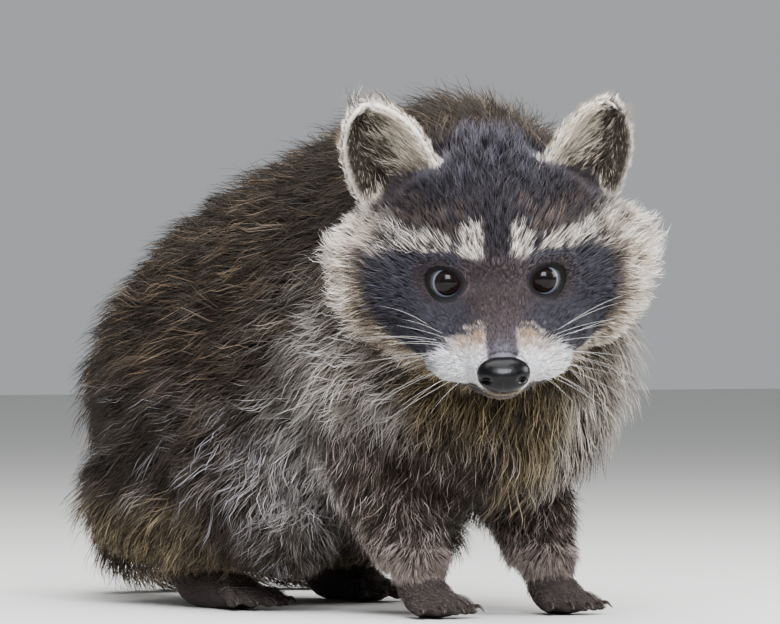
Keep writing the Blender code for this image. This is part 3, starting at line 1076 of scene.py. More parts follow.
@dataclass
class Markings:
    """Where skin or hair is dark, brown or pale, at these world points in metres.

    Places on the face are in the head's own frame, and those on the body in the row frame.
    Curves on the face go by the distance from its middle line, unless they say height.
    """

    head: Head
    ears: list[Ear]
    points: Array
    labels: Array
    normals: Array
    luck: Array | None = None  # each hair's own number from 0 to 1, or None for the mean colour
    brow_low: Curve = Curve((5, 9, 14, 20, 27, 34, 40, 46),
                            (12, 12.2, 14.3, 15, 12.7, 11, 9, 7.5))
    brow_high: Curve = Curve((5, 9, 12, 16.5, 23, 31, 40, 47, 56),
                             (23.5, 23.0, 20.5, 18.2, 19.0, 17.8, 17.0, 17.5, 16))
    bridge_half: Curve = Curve((-12, -4, 2, 7, 12), (6.0, 6.8, 9.5, 9.0, 5.0))  # by height
    cheek_edge: Curve = Curve((-30, -26, -21, -17, -11, -5, 2, 6, 9, 14),  # by height
                              (30, 33, 39, 42, 46, 48, 48, 47.5, 45, 42))
    muzzle_top: Curve = Curve((5.5, 8, 12.7, 17.4, 22, 27, 31),
                              (-6.6, -7.4, -9.3, -12.6, -15.2, -19.4, -23.0))
    ear_pale: Curve = Curve((-1.0, -0.7, -0.35, 0.0, 0.4, 1.0),  # from inner to outer edge
                            (1.05, 0.95, 0.72, 0.34, 0.02, 0.06))
    ring_gap: float = 27.0
    tail_length: float = 196.0

    def plain(self, hues: str) -> Paint:
        """One colouring everywhere, from the names of its three hues."""
        return Paint.plain(len(self.points), hues)

    def waves(self, size: float, seed: int) -> Array:
        """Smooth irregular values at the points."""
        return waves(self.points, size, seed)

    def on(self, *parts: Part) -> Array:
        """1 on these parts and 0 elsewhere."""
        return is_one_of(self.labels, *parts).astype(float)

    def chosen(self, share: Array, start: float, end: float, weight: float = 1.0) -> Array:
        """Picks hairs by their own numbers.

        Args:
            share: share of the hairs to pick at each place.
            start: share less number at which a hair is left out.
            end: share less number at which a hair is picked.
            weight: how much each hair's own number counts.

        Returns:
            1 for picked hairs and 0 for the others, with few between.
        """
        return share if self.luck is None else ramp(share - weight * self.luck, start, end)

    def face(self) -> Paint:
        """Colours of the head without its ears.

        Returns:
            The hair's colours there.
        """
        x, y, z = (own := self.head.local(self.points)).T
        out = np.abs(x)
        paint = self.plain("underfur crown crown_low")
        paint = paint.over("underfur crown crown_tip", ramp(z, 28, 44))
        paint = paint.over("underfur crown nape", ramp(y, 34, 54) * ramp(z, 14, 30))

        # the dark mask with its brown bridge and warmer skin round the eyes
        out = out * np.where(x > 0, 1.0 + 0.075 * ramp(x, 26, 44), 1.0)
        low, high = self.brow_low(out), self.brow_high(out)
        paint = paint.over("mask mask mask_tip", ramp(z, low + 1.0, low - 1.0))
        half, ragged = self.bridge_half(z), out + 1.2 * self.waves(6.0, 21)
        paint = paint.over("bridge bridge bridge_tip",
                           ramp(ragged, half + 4.5, half - 3.5) * ramp(z, 15, -3) * 0.9)
        eye_gap = self.head.eye_gap(own)
        around = np.maximum(ramp(eye_gap, 15.0, 8.5), ramp(out, 18, 10) * ramp(z, -12, -4))
        paint = paint.over("mask dusk dusk_tip", around * ramp(z, -12, 0) * ramp(z, 16, 9) * 0.8)
        if self.luck is None:
            paint = paint.over("lid lid lid", ramp(eye_gap, 9.4, 8.0))

        # rusty hairs over the brows, and the brows' pale band, thinner at a notch over each eye
        warm = ramp(z, high - 2, high + 3) * ramp(z, high + 14, high + 4)
        warm *= ramp(out, 5, 14) * ramp(out, 42, 30) * (0.55 + 0.3 * self.waves(6.0, 31))
        paint = paint.over("underfur rust rust_tip",
                           np.clip(self.chosen(warm, -0.25, 0.15), 0, 1) * 0.6)
        band = ramp(z, low - 0.8, low + 1.0) * ramp(z, high + 1.4, high - 1.2)
        band *= ramp(out, 4.0, 5.8)
        notch = blob((out, 14.0, 2.6), (z, 17.5, 4.0))
        keep = 0.56 + 0.26 * blob((out, 8.0, 3.4)) - 0.6 * notch + 0.3 * self.waves(5.5, 5)
        keep = self.chosen(keep - 0.14 * ramp(out, 30, 40), 0.0, 0.2, 0.75)
        paint = paint.over("pale_root brow brow_tip", np.clip(band * keep, 0, 1))

        # pale cheeks down to the jaw, over a cream ground and with a rusty edge to the mask
        edge = self.cheek_edge(z)
        outside = ramp(out, edge - 1.5, edge + 3.0) * ramp(z, 22, 14)
        lower = ramp(z + 0.12 * y, -21.5, -27.0) * ramp(y, -8, 2)
        cheeks = np.maximum(np.maximum(outside, lower), ramp(y, 12, 20) * ramp(z, 22, 14))
        rusty = blob((out - edge, 1.5, 3.5)) * ramp(z, -24, -8) * ramp(z, 16, 8)
        # towards the ruff's outer edge more hairs are pale: partly its own white, partly painted
        # light for the rim lit from behind
        keep = np.where(x > 0, 0.8, 0.68) + 0.2 * ramp(out, 48, 56) - 0.5 * rusty
        keep += 0.24 * self.waves(8.0, 8) - 0.36 * ramp(z, -5, -17)
        keep = self.chosen(keep, 0.0, 0.2, 0.75)
        paint = paint.over("underfur cream tan_tip", cheeks * ramp(z, 12, -8))
        paint = paint.over("pale_root cheek cheek_tip", np.clip(cheeks * keep, 0, 1))
        paint = paint.over("underfur rust rust_tip", rusty * 0.55)

        # the back of the head and the throat
        paint = paint.over(self.grizzled(0.3), ramp(y, 22, 38) * ramp(z, 26, 12))
        paint = paint.over("underfur olive olive_tip",
                           ramp(z, -28, -33) * ramp(out, 34, 22) * 0.9)
        return self.muzzle(paint, own)

    def muzzle(self, paint: Paint, own: Array) -> Paint:
        """Adds the muzzle's white sides, tan above, with dark whisker roots and a painted sheen
        above the nose.

        Args:
            paint: the face's colours so far.
            own: the points in the head's millimetres.

        Returns:
            The face's colours.
        """
        x, y, z = own.T
        out = np.abs(x)
        rough = 0.9 * self.waves(5.0, 12)
        if self.luck is not None:
            rough = rough + 1.6 * (self.luck - 0.5)
        top = self.muzzle_top(out) + rough
        white = ramp(z, top + 0.8, top - 1.0) * ramp(y, -2, -10) * ramp(out + rough, 27, 22.5)
        white *= np.maximum(ramp(out + 0.3 * rough, 4.9, 6.4), ramp(z, -20.0, -22.5))
        white *= ramp(z, -28.0, -26.8)
        gap = np.min([np.hypot(out - px, np.hypot(y - py, z - pz))
                      for _, _, (px, py, pz) in whisker_roots(1)], axis=0)
        # painted sheen: a bluish-grey highlight of the wet skin just above the nose, laid into the
        # colour
        wet = np.exp(-(np.linalg.norm(own - (0.0, -39.0, -9.5), axis=1) / 4.5) ** 2)
        for hues, share in (
                ("muzzle_root muzzle muzzle_tip", white),
                ("muzzle_root muzzle_tan muzzle_tan",
                 white * ramp(z, top - 6.5, top - 1.0) * ramp(out, 22, 12)),
                ("pale_root pale_root tan_tip",
                 white * ramp(z, -23.0, -24.6) * ramp(out, 13, 8)),
                ("mask mask_tip muzzle", white * blob((gap, 0.0, 1.1)) * 0.55),
                ("bridge_wet bridge_wet bridge_wet", 0.36 * wet)):
            paint = paint.over(hues, share)
        return paint

    def grizzled(self, silver: Array | float, pale: str = "silver_tip",
                 band: str = "brown_hair", end: str = "brown_hair") -> Paint:
        """Dark body hair, a share of which is banded and ends in a pale tip.

        Args:
            silver: share of pale hairs, from 0 to 1.
            pale: name of the pale tip's hue.
            band: name of the hue below that tip.
            end: name of the tip's hue on all other hairs.

        Returns:
            The hair's colours.
        """
        share = np.clip(np.full(len(self.points), silver), 0, 1)
        return self.plain(f"underfur dark_hair {end}").over(f"underfur {band} {pale}",
                                                            self.chosen(share, -0.12, 0.1))

    def body(self) -> Paint:
        """Colours of neck, trunk, legs and tail, from dark back to silvery shoulders.

        Returns:
            The hair's colours there.
        """
        x, y, z = (self.points / MM).T
        out, coat = np.abs(x), self.grizzled
        silver = 0.05 + 0.07 * self.waves(40.0, 3) + 0.05 * self.waves(16.0, 4)
        silver -= 0.05 * ramp(y, 40, 80) + 0.05 * ramp(z, 80, 104)
        silver += 0.4 * blob((y, -29, 28), (z, 56, 22))
        spread = 0.14 * self.waves(18.0, 6)
        mane = blob((y, -76, 32), (z, 92, 28))
        breast = ramp(y, -92, -118) * blob((z, 84, 42)) * ramp(x, -34, -8)
        # frost: the pale silver streaks over the crease between foreleg and haunch, laid on thicker
        # and lighter than they are, as painted light against the crease's shade
        frost = blob((y, -37, 13), (z, 58, 20)) * ramp(out, 38, 50)
        nape = blob((y, -46, 20), (z, 162, 26)) * ramp(out, 30, 52)
        front = ramp(y, -96, -110) * ramp(z, 130, 100) * ramp(x, -4, -18)
        paint = coat(silver, "blue_tip")
        for hair, share in (
                (coat(silver + 0.26, "nape", "brown_hair", "dark_hair"), 0.9 * ramp(z, 76, 106)),
                (coat(0.88 + spread, "silver_tip", "cream"),
                 np.clip(1.05 * mane + spread * np.sqrt(mane), 0, 1)),
                (coat(0.95, "cream_tip", "cream"), np.clip(breast + 0.3 * spread, 0, 1)),
                (coat(0.85 + spread, "frost_tip", "frost"), np.clip(1.3 * frost, 0, 1)),
                ("underfur underfur dark_hair", nape * 0.8),
                (coat(0.5, "olive_tip"), ramp(z, 54, 28) * ramp(y, -16, 20)),
                (coat(0.5, "olive_tip", "olive"), front * 0.9),
                (coat(0.22 + 0.66 * ramp(z, 42, 18), "leg_tip", "leg"),
                 self.on(*FORELEGS) * ramp(z, 84, 62))):
            paint = paint.over(hair, share)

        # a pale fringe down the back edge of each foreleg and across the inside of its front
        for part in FORELEGS:
            low, high = (Vector(corner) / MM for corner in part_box(part.value))
            centre = (low.x + high.x) / 2
            inner = (x - centre) * (1 if centre < 0 else -1)
            edge = ramp(y, high.y - 26, high.y - 12)
            ahead = ramp(inner, 2, 8) * ramp(y, low.y + 22, low.y + 10)
            edge = np.maximum(edge, 0.75 * ahead * ramp(z, 24, 34) * ramp(z, 53, 44))
            paint = paint.over(coat(0.85, "frost_tip", "frost"),
                               self.on(part) * edge * ramp(z, 74, 56))
        return paint.over(self.tail(), self.on(*TAIL))

    def tail(self) -> Paint:
        """Dark and pale rings along the tail, with a dark end.

        Returns:
            The tail's colours.
        """
        along = TailPath().along(self.points)[0]
        ring = 0.5 + 0.5 * np.cos(2 * math.pi * along / self.ring_gap)
        share = ramp(ring, 0.42, 0.62) * ramp(along, 12, 24)
        share = share * ramp(along, self.tail_length, self.tail_length - 16)
        return self.plain("underfur dark_hair brown_hair").over("olive tail_ring tan_tip", share)

    def ear(self, ear: Ear) -> Paint:
        """Dark hollow crossed by pale hair from its inner half, a thin white rim, a brown back.

        Args:
            ear: one ear.

        Returns:
            Its colours.
        """
        across, high, _ = ear.local(self.points)
        facing = ear.facing(self.normals)
        front = ramp(facing, -0.15, 0.25)
        pale = self.ear_pale(across) + 0.8 * ramp(high, -0.35, -0.65) * ramp(across, 0.25, 0.7)
        pale = np.clip(self.chosen(pale, -0.2, 0.2), 0, 1)
        rim = np.maximum(ramp(np.abs(across), 0.9, 0.99), ramp(high, 0.9, 0.97))
        rim *= ramp(high + 0.3 * ramp(across, -0.2, 0.2), -0.6, -0.25)
        rim *= ramp(facing, -0.45, -0.15)
        outer = ramp(across, 0.7, 0.95) * ramp(high, 0.7, 0.2)
        foot = ramp(high, -0.22, -0.46) * ramp(across, 0.35, -0.1)
        paint = self.plain("ear_back ear_back ear_back_tip")
        paint = paint.over("ear_hollow ear_hollow hollow_tip", front)
        paint = paint.over("ear_hollow ear_front ear_tip", pale * front)
        paint = paint.over("ear_front ear_rim ear_rim", rim * (1.0 - 0.35 * outer))
        return paint.over("underfur crown crown_tip", foot * front)

    def build(self) -> Paint:
        """Colours of the whole coat.

        Returns:
            The hair's colours at every point.
        """
        back = self.head.local(self.points)[:, 1]
        paint = self.body().over(self.face(), self.on(Part.HEAD) * ramp(back, 52, 36))
        for ear in self.ears:
            paint = paint.over(self.ear(ear), self.on(ear.part))
        return paint.over("paw paw paw_tip", self.on(*PAWS))


# ------------------------------------------------------------------ how the coat lies


@dataclass
class TailPath:
    """The tail's middle line in the row frame."""

    knots: tuple[Triple, ...] = (
        (-16, 100, 98), (-16, 133, 76), (-15, 151, 46), (-2, 165, 22), (28, 173, 17),
        (60, 169, 16.5), (82, 154, 16), (90, 136, 15))

    def along(self, points: Array) -> tuple[Array, Array]:
        """Finds places on the tail.

        Args:
            points: world points in metres.

        Returns:
            How far along the tail they lie, and the tail's way there.
        """
        knots = np.array(self.knots, float)
        spans = np.diff(knots, axis=0)
        lengths = np.linalg.norm(spans, axis=1)
        starts = np.concatenate([[0], np.cumsum(lengths)[:-1]])
        own = points / MM
        part = np.clip(((own[:, None] - knots[None, :-1]) * spans).sum(2) / lengths**2, 0, 1)
        foot = knots[None, :-1] + part[..., None] * spans
        best = np.linalg.norm(own[:, None] - foot, axis=2).argmin(1)
        each = np.arange(len(points))
        return starts[best] + part[each, best] * lengths[best], spans[best] / lengths[best, None]


@dataclass
class Lie:
    """Direction, length, thickness and depth of the hair at every point of the skin."""

    surface: Surface
    labels: Array
    head: Head
    ears: list[Ear]
    depth: Array
    smoothing: int = 16
    ear_thinness: float = 0.62
    width_of: Curve = Curve((1, 4, 8, 14, 20), (0.13, 0.19, 0.26, 0.34, 0.42))  # by length
    foreleg_hair: Curve = Curve((14, 26, 45, 70, 105), (4.5, 7.0, 11.0, 16.0, 20.0))  # by height
    hindleg_hair: Curve = Curve((13, 24, 40, 60), (5.0, 9.0, 15.0, 20.0))  # by height
    head_hair: Curve = Curve((6, 18, 34, 46, 60, 76, 95),  # by distance from the snout
                             (1.6, 2.6, 3.6, 5.0, 9.0, 14.0, 18.0))
    lid_hair: Curve = Curve((7.2, 9.5, 14, 20), (1.1, 1.9, 4, 30))  # by distance from the eye
    ear_lean: Curve = Curve((-1.0, -0.8, 0.0, 0.45, 0.85, 0.95, 1.1),  # the next ones run across
                            (0.1, 0.5, 0.65, 0.35, -0.6, 0.0, 0.3))
    ear_inside: Curve = Curve((-1.0, -0.75, 0.1, 0.6, 0.85, 0.95), (2.2, 8.5, 8.0, 5.5, 3.4, 1.9))
    ear_behind: Curve = Curve((-1.0, 0.0, 0.7, 1.0), (4.2, 5.0, 7.2, 6.4))
    nose_half: Triple = (10.2, 7.4, 7.6)
    own: Array = field(init=False)
    eye_gap: Array = field(init=False)
    way: Array = field(init=False)
    length: Array = field(init=False)
    width: Array = field(init=False)
    cover: Array = field(init=False)

    def __post_init__(self) -> None:
        """Works everything out once."""
        self.own = self.head.local(self.surface.points)
        self.eye_gap = self.head.eye_gap(self.own)
        self.way = self.directions()
        self.length = self.lengths()
        self.width = self.width_of(self.length)
        self.width[self.on(*EARS)] *= self.ear_thinness
        self.cover = self.covers()

    def on(self, *parts: Part) -> Array:
        """Which points of the skin belong to these parts."""
        return is_one_of(self.labels, *parts)

    def directions(self) -> Array:
        """The unit direction in which hair lies, in the skin.

        Returns:
            One direction per point of the skin.
        """
        points, normals = self.surface.points, self.surface.normals
        x, y, z = (points / MM).T
        nx, ny, _ = normals.T
        way = rows(0.15 * np.sign(x), 0.95, -0.2 - 0.3 * np.abs(nx))
        for sideways, back, share in (
                (0.25, 0.1, ramp(ny, -0.15, -0.6)),  # the breast
                (0.3, 0.35, ramp(y, 70, 110)),  # the rump
                (0.1, 0.35, self.on(*FORELEGS) * ramp(z, 105, 70)),
                (0.1, 0.6, self.on(*HINDLEGS) * ramp(z, 80, 35))):
            way = mixed(way, rows(sideways * nx, back, -1.0), share)
        tail, face = self.on(*TAIL), self.on(Part.HEAD)
        way[tail] = TailPath().along(points[tail])[1]
        way[self.on(*PAWS)] = (0.0, -1.0, -0.25)
        way[face] = self.head_directions(self.own[face])
        for ear in self.ears:
            here = self.on(ear.part)
            across, high, _ = ear.local(points[here])
            out = self.ear_lean(across) - 0.5 * ramp(high, -0.3, -0.7) * ramp(across, 0.3, 0.7)
            facing = ramp(ear.facing(normals[here]), -0.1, 0.3)
            out = 0.65 * across * (1.0 - facing) + out * facing
            way[here] = rows(ear.side * out, 0.0, 1.0) @ ear.axes().T
        way = unit(way)
        way = mixed(self.surface.spread(way, 3), self.surface.spread(way, self.smoothing),
                    ramp(self.eye_gap, 9.0, 18.0))
        way -= normals * (way * normals).sum(1, keepdims=True)
        return unit(way)

    def head_directions(self, own: Array) -> Array:
        """Which way the hair on the head lies: off nose and eyes.

        Args:
            own: points in the head's millimetres.

        Returns:
            World directions.
        """
        x, _, z = own.T
        out, side = np.abs(x), np.sign(x)
        away = unit(own - SNOUT)
        for toward, share in (
                (unit(rows(side * 0.95, 0.35, -0.12 + 0.012 * z)),  # the ruff
                 ramp(out, 30, 50) * ramp(z, 26, 10) * 0.75),
                (np.array([0.0, 0.8, 0.35]), ramp(z, 24, 40) * ramp(out, 34, 20) * 0.5),
                (unit(rows(side * 0.6, 0.3, 0.75)),  # the brows
                 ramp(z, 8, 14) * ramp(z, 30, 22) * ramp(out, 4, 10) * 0.5),
                (unit(rows(side * 0.25, 0.6, -0.75)), ramp(z, -22, -34) * 0.7)):  # the jaw
            away = mixed(away, toward, share)
        for eye in self.head.eyes:
            gap = own - eye
            near = ramp(np.linalg.norm(gap, axis=1), 13.0, 7.5)
            away = mixed(away, unit(unit(gap) + 0.6 * away), near * 0.8)
        return away @ self.head.axes.T

    def lengths(self) -> Array:
        """Length of the hair.

        Returns:
            One length per point of the skin.
        """
        x, y, z = self.own.T
        floor_gap = self.surface.points[:, 2] / MM
        length = np.full(len(self.labels), 21.0)
        for parts, plain in (((Part.NECK,), 20.0), (TAIL, 19.0), (PAWS, 2.6)):
            length[self.on(*parts)] = plain
        for parts, curve in ((FORELEGS, self.foreleg_hair), (HINDLEGS, self.hindleg_hair)):
            here = self.on(*parts)
            length[here] = curve(floor_gap[here])
        face = self.on(Part.HEAD)
        length[face] = self.head_hair(np.linalg.norm(self.own - SNOUT, axis=1)[face])
        pad = face & (z < -12) & (np.abs(x) > 9)
        length[pad] += np.interp(y[pad], [-42, -34, -20, -6], [0.2, 1.2, 2.6, 3.2])
        brow = face & (z > 14) & (y < 40)
        length[brow] = np.minimum(length[brow], np.interp(y[brow], [0, 25, 40], [7.4, 10, 15]))
        low = face & (np.abs(x) > 30) & (y < 45)
        short = np.interp(z[low], [-14, 4], [0.5, 0.76])
        length[low] *= np.where(x[low] > 0, short, 0.2 + 0.8 * short)
        length = self.surface.spread(length, 8)
        for ear in self.ears:
            across, high, back = ear.local(self.surface.points)
            ahead = (np.abs(across) < 1.5) & (back < 6.0) & (high < 0.4) & face
            gap = np.hypot(np.maximum(-6.0 - back, 0.0), np.maximum(-0.7 - high, 0.0) * 16.0)
            length[ahead] = np.minimum(length[ahead], np.interp(gap[ahead], [0, 12], [2.6, 9.0]))
            here = self.on(ear.part)
            across, high = across[here], high[here]
            facing = ramp(ear.facing(self.surface.normals[here]), -0.5, -0.15)
            inside = np.minimum(self.ear_inside(across), np.interp(high, [0.55, 0.88], [9, 1.9]))
            behind = np.minimum(self.ear_behind(across), np.interp(high, [0.6, 0.9], [9, 5.4]))
            length[here] = behind + (inside - behind) * facing
        return np.minimum(self.surface.spread(length, 2), self.lid_hair(self.eye_gap))

    def covers(self) -> Array:
        """How many times over the hair would cover the skin.

        Returns:
            One number per point of the skin.
        """
        nz = self.surface.normals[:, 2]
        floor_gap = self.surface.points[:, 2] / MM
        cover = 7.0 * (1.0 - 0.25 * ramp(nz, -0.5, -0.9))
        for parts, plain in ((TAIL, 8.0), ((Part.HEAD,), 6.0), (EARS, 3.0)):
            cover[self.on(*parts)] = plain
        feet = self.on(*PAWS)
        cover[feet] = 1.5 * ramp(nz[feet], -0.5, -0.1) * ramp(floor_gap[feet], 0.8, 3.0)
        face = Face(self.head)
        for side, eye in zip((-1, 1), self.head.eyes):
            away = (self.own - eye) @ face.eye_axes(side)
            cover[(face.eye_ring(away) < 1.2) & (away[:, 1] < 2)] = 0.0
        cover[np.linalg.norm((self.own - self.head.nose) / self.nose_half, axis=1) < 1.0] = 0.0
        return cover


# ------------------------------------------------------------------ hairs


@dataclass
class Hairs:
    """Roots with everything that shapes and colours them, one row per hair."""

    root: Array
    normal: Array
    way: Array
    length: Array
    width: Array
    lift: Array
    label: Array
    uv: Array


@dataclass(frozen=True)
class Comb:
    """How loosely or tidily hairs of one kind lie."""

    stations: tuple[float, ...]
    clump: int
    gather: float
    stray: float
    wave: float
    uneven: float


@dataclass(frozen=True)
class Kind:
    """One kind of hair, where it grows, and how it differs from the coat's plain sizes."""

    name: str
    comb: Comb
    cover: float
    length: float
    width: float
    rise: float
    between: tuple[float, float]
    tip_share: float
    shade: float = 1.0


LONG_FROM = 7.5  # longer hair is wool with guard hairs over it, shorter hair is one pile
LONG = (LONG_FROM, 99.0)
GUARD = Kind("guard", Comb((0.0, 0.36, 0.72, 1.0), 8, 0.34, 0.28, 0.1, 0.2), cover=0.155,
             length=1.12, width=0.7, rise=1.0, between=LONG, tip_share=1.0)
FINE = Kind("fine", Comb((0.0, 0.5, 1.0), 7, 0.3, 0.3, 0.05, 0.24), cover=0.18, length=1.0,
            width=0.56, rise=0.96, between=LONG, tip_share=0.85)
WOOL = Kind("wool", Comb((0.0, 0.5, 1.0), 12, 0.36, 0.24, 0.03, 0.2), cover=0.27, length=0.74,
            width=0.95, rise=0.84, between=LONG, tip_share=0.3, shade=0.74)
PILE = Kind("pile", Comb((0.0, 0.45, 1.0), 6, 0.26, 0.15, 0.02, 0.18), cover=0.76, length=1.0,
            width=1.0, rise=1.0, between=(0.0, LONG_FROM), tip_share=0.8)


def nearest(centres: Array, points: Array) -> Array:
    """Index of the centre closest to each point.

    Args:
        centres: places in metres.
        points: places in metres.

    Returns:
        One index per point.
    """
    tree = KDTree(len(centres))
    for index, centre in enumerate(centres):
        tree.insert(centre, index)
    tree.balance()
    return np.array([tree.find(point)[1] for point in points])


@dataclass
class Coat:
    """Thin closed hairs over the skin, grown in pieces."""

    lie: Lie
    triangle_uv: Array
    most: int = 190000  # triangles of one piece
    taper: tuple[float, float] = (1.0, 0.78)
    root_depth: float = 0.25
    floor_gap: float = 0.5
    brightest: float = 0.92
    patch: float = 0.003  # size on the unwrap
    third_tint: float = 0.62  # how far the third of four stations has the tip's colour

    def sow(self, kind: Kind, count_scale: float, seed: int) -> Hairs:
        """Scatters roots over the skin.

        Args:
            kind: the kind of hair.
            count_scale: share of the full number of hairs.
            seed: picks another scatter.

        Returns:
            The hairs, before they are combed.
        """
        rng = np.random.default_rng(seed)
        lie, surface = self.lie, self.lie.surface
        tri = surface.triangles
        corners = surface.points[tri]
        normal = np.cross(corners[:, 1] - corners[:, 0], corners[:, 2] - corners[:, 0])
        area = np.linalg.norm(normal, axis=1) / 2 / MM**2
        size = lie.width * kind.width * lie.length * kind.length
        per_mm2 = (lie.cover * kind.cover / size)[tri].min(1)
        here = lie.length[tri].mean(1)
        grows = (here >= kind.between[0]) & (here < kind.between[1])
        total = np.cumsum(area * per_mm2 * grows * count_scale)
        count = int(total[-1])
        steps = (np.arange(count) + rng.random(count)) * total[-1] / count
        picked = np.minimum(np.searchsorted(total, steps), len(tri) - 1)
        a, b = np.sqrt(rng.random(count)), rng.random(count)
        weight = np.stack([1 - a, a * (1 - b), a * b], 1)

        def blend(values: Array) -> Array:
            """Values of the skin's points, blended at each root."""
            return (values[tri[picked]].T * weight.T).sum(-2).T

        skin_normal = unit(blend(surface.normals))
        way = blend(lie.way)
        way = unit(way - skin_normal * (way * skin_normal).sum(1, keepdims=True))
        length = blend(lie.length) * kind.length
        lift = np.arcsin(np.clip(blend(lie.depth) * kind.rise / length, 0.1, 0.85))
        return Hairs(blend(surface.points), skin_normal, way, length,
                     blend(lie.width) * kind.width, lift,
                     lie.labels[tri[picked, np.argmax(weight, axis=1)]],
                     (self.triangle_uv[picked] * weight[..., None]).sum(1))

    def combed(self, hairs: Hairs, comb: Comb, seed: int) -> tuple[Array, Array]:
        """Bends the hairs along their lie and gathers them into locks.

        Args:
            hairs: the scattered hairs.
            comb: how they lie.
            seed: picks other strays.

        Returns:
            Places along each hair, and the number of its lock.
        """
        rng = np.random.default_rng(seed)
        count = len(hairs.root)
        centres = rng.permutation(count)[: max(1, count // comb.clump)]
        lock = nearest(hairs.root[centres], hairs.root)
        locks = len(centres)

        def both(spread: float) -> Array:
            """A random value per hair, made of its lock's and its own."""
            return (rng.normal(size=locks)[lock] * 0.75 + rng.normal(size=count) * 0.55) * spread

        calm = is_one_of(hairs.label, Part.HEAD, *EARS, *PAWS)
        turn = both(comb.stray) + np.where(calm, 0.08, 0.26) * waves(hairs.root, 24.0, 9)
        across = np.cross(hairs.normal, hairs.way)
        way = hairs.way * np.cos(turn)[:, None] + across * np.sin(turn)[:, None]
        lift = np.clip(hairs.lift * (1.0 + both(0.2)), 0.06, 1.15)
        length = hairs.length * np.clip(1.0 + both(comb.uneven), 0.5, 1.45) * MM
        phase = rng.uniform(0, 6.28, locks)[lock] + rng.normal(size=count) * 0.7
        paths = []
        for t in comb.stations:
            rise = np.sin(lift) * (1.7 * t - 0.7 * t * t)
            reach = np.cos(lift) * t * (0.82 + 0.18 * t)
            sway = comb.wave * (np.sin(phase + 5.2 * t) - np.sin(phase)) * (t > 0)
            paths.append(hairs.root + length[:, None] * (
                hairs.normal * rise[:, None] + way * reach[:, None]
                + np.cross(hairs.normal, way) * sway[:, None]))
        path = np.stack(paths, 1)

        # each hair is drawn towards its lock's middle one, less where the coat is short
        short = is_one_of(hairs.label, *EARS, *PAWS, *FORELEGS)
        ruff = np.interp(hairs.length, [6.0, 10.0], [0.6, 1.0])
        gather = np.where(short, 0.6, np.where(calm, ruff, 1.0))
        for index, t in enumerate(comb.stations):
            pull = comb.gather * t**1.4 * np.clip(rng.normal(1.0, 0.25, count), 0.3, 1.6) * gather
            goal = path[centres, index][lock]
            path[:, index] += (goal - path[:, index]) * np.clip(pull, 0, 0.92)[:, None]
        path[:, 0] = hairs.root - hairs.normal * self.root_depth * MM
        path[..., 2] = np.maximum(path[..., 2], self.floor_gap * MM)
        return path, lock

    def coloured(self, hairs: Hairs, path: Array, lock: Array, kind: Kind, seed: int) -> Array:
        """Colours the hairs by the markings, each a little lighter or darker than the next.

        Args:
            hairs: the scattered hairs.
            path: places along each hair.
            lock: the number of each hair's lock.
            kind: the kind of hair.
            seed: picks other hairs to be light or dark.

        Returns:
            A colour for every station of every hair.
        """
        rng = np.random.default_rng(seed)
        count, stations = path.shape[:2]
        place = path[:, -2] * 0.55 + hairs.root * 0.45
        place = place + rng.normal(size=(count, 3)) * (hairs.length * 0.09 * MM)[:, None]
        locks = lock.max() + 1
        keen = rng.normal(size=locks)[lock] * 0.6 + rng.normal(size=count) * 0.8
        luck = 1.0 / (1.0 + np.exp(-1.702 * keen))  # even from 0 to 1
        paint = Markings(self.lie.head, self.lie.ears, place, hairs.label, hairs.normal,
                         luck).build()
        light = np.exp(rng.normal(size=locks)[lock] * 0.14 + rng.normal(size=count) * 0.2)
        tip = mixed(paint.middle, paint.tip, kind.tip_share)
        middle_tint = mixed(paint.middle, tip, 0.2 * kind.tip_share)
        tints = [paint.root * 0.75, middle_tint, tip]
        if stations == 4:
            tints.insert(2, mixed(middle_tint, tip, self.third_tint))
        colours = np.stack(tints, 1) * (light * kind.shade)[:, None, None]
        return np.clip(colours, 0, self.brightest)

    def mesh(self, name: str, path: Array, width: Array, colours: Array, uv: Array) -> Thing:
        """Joins closed three-sided hairs into one object.

        Args:
            name: the object's name.
            path: stations of each hair, in metres.
            width: thickness at the widest.
            colours: linear colour of each station.
            uv: each root's place on the unwrap of the skin.

        Returns:
            The object.
        """
        count, stations = path.shape[:2]
        rings = stations - 2
        along = unit(path[:, 2:] - path[:, :-2])
        aside = unit(np.cross(along, np.array([0.31, 0.17, 0.93])))
        above = np.cross(along, aside)
        verts = [path[:, 0]]
        for ring in range(rings):
            radius = (width / 2 * MM * self.taper[ring])[:, None]
            for corner in range(3):
                angle = corner * 2 * math.pi / 3
                verts.append(path[:, ring + 1] + radius * (
                    aside[:, ring] * math.cos(angle) + above[:, ring] * math.sin(angle)))
        verts.append(path[:, -1])
        station = np.array([0, *np.repeat(np.arange(1, rings + 1), 3), rings + 1])
        per = len(station)
        faces = []
        for k in range(3):
            n = (k + 1) % 3
            faces.append((0, 1 + n, 1 + k))
            for low in range(1, 3 * rings - 2, 3):
                high = low + 3
                faces += [(low + k, low + n, high + n), (low + k, high + n, high + k)]
            faces.append((per - 4 + k, per - 4 + n, per - 1))
        loops = (np.array(faces)[None] + (np.arange(count) * per)[:, None, None]).reshape(-1)
        made = bpy.data.meshes.new(name)
        made.vertices.add(count * per)
        made.vertices.foreach_set("co", np.stack(verts, 1).astype(np.float32).ravel())
        made.loops.add(len(loops))
        made.loops.foreach_set("vertex_index", loops.astype(np.int32))
        made.polygons.add(len(loops) // 3)
        made.polygons.foreach_set("loop_start", np.arange(0, len(loops), 3, dtype=np.int32))
        made.update(calc_edges=True)
        tint(made, colours[:, station].reshape(-1, 3))

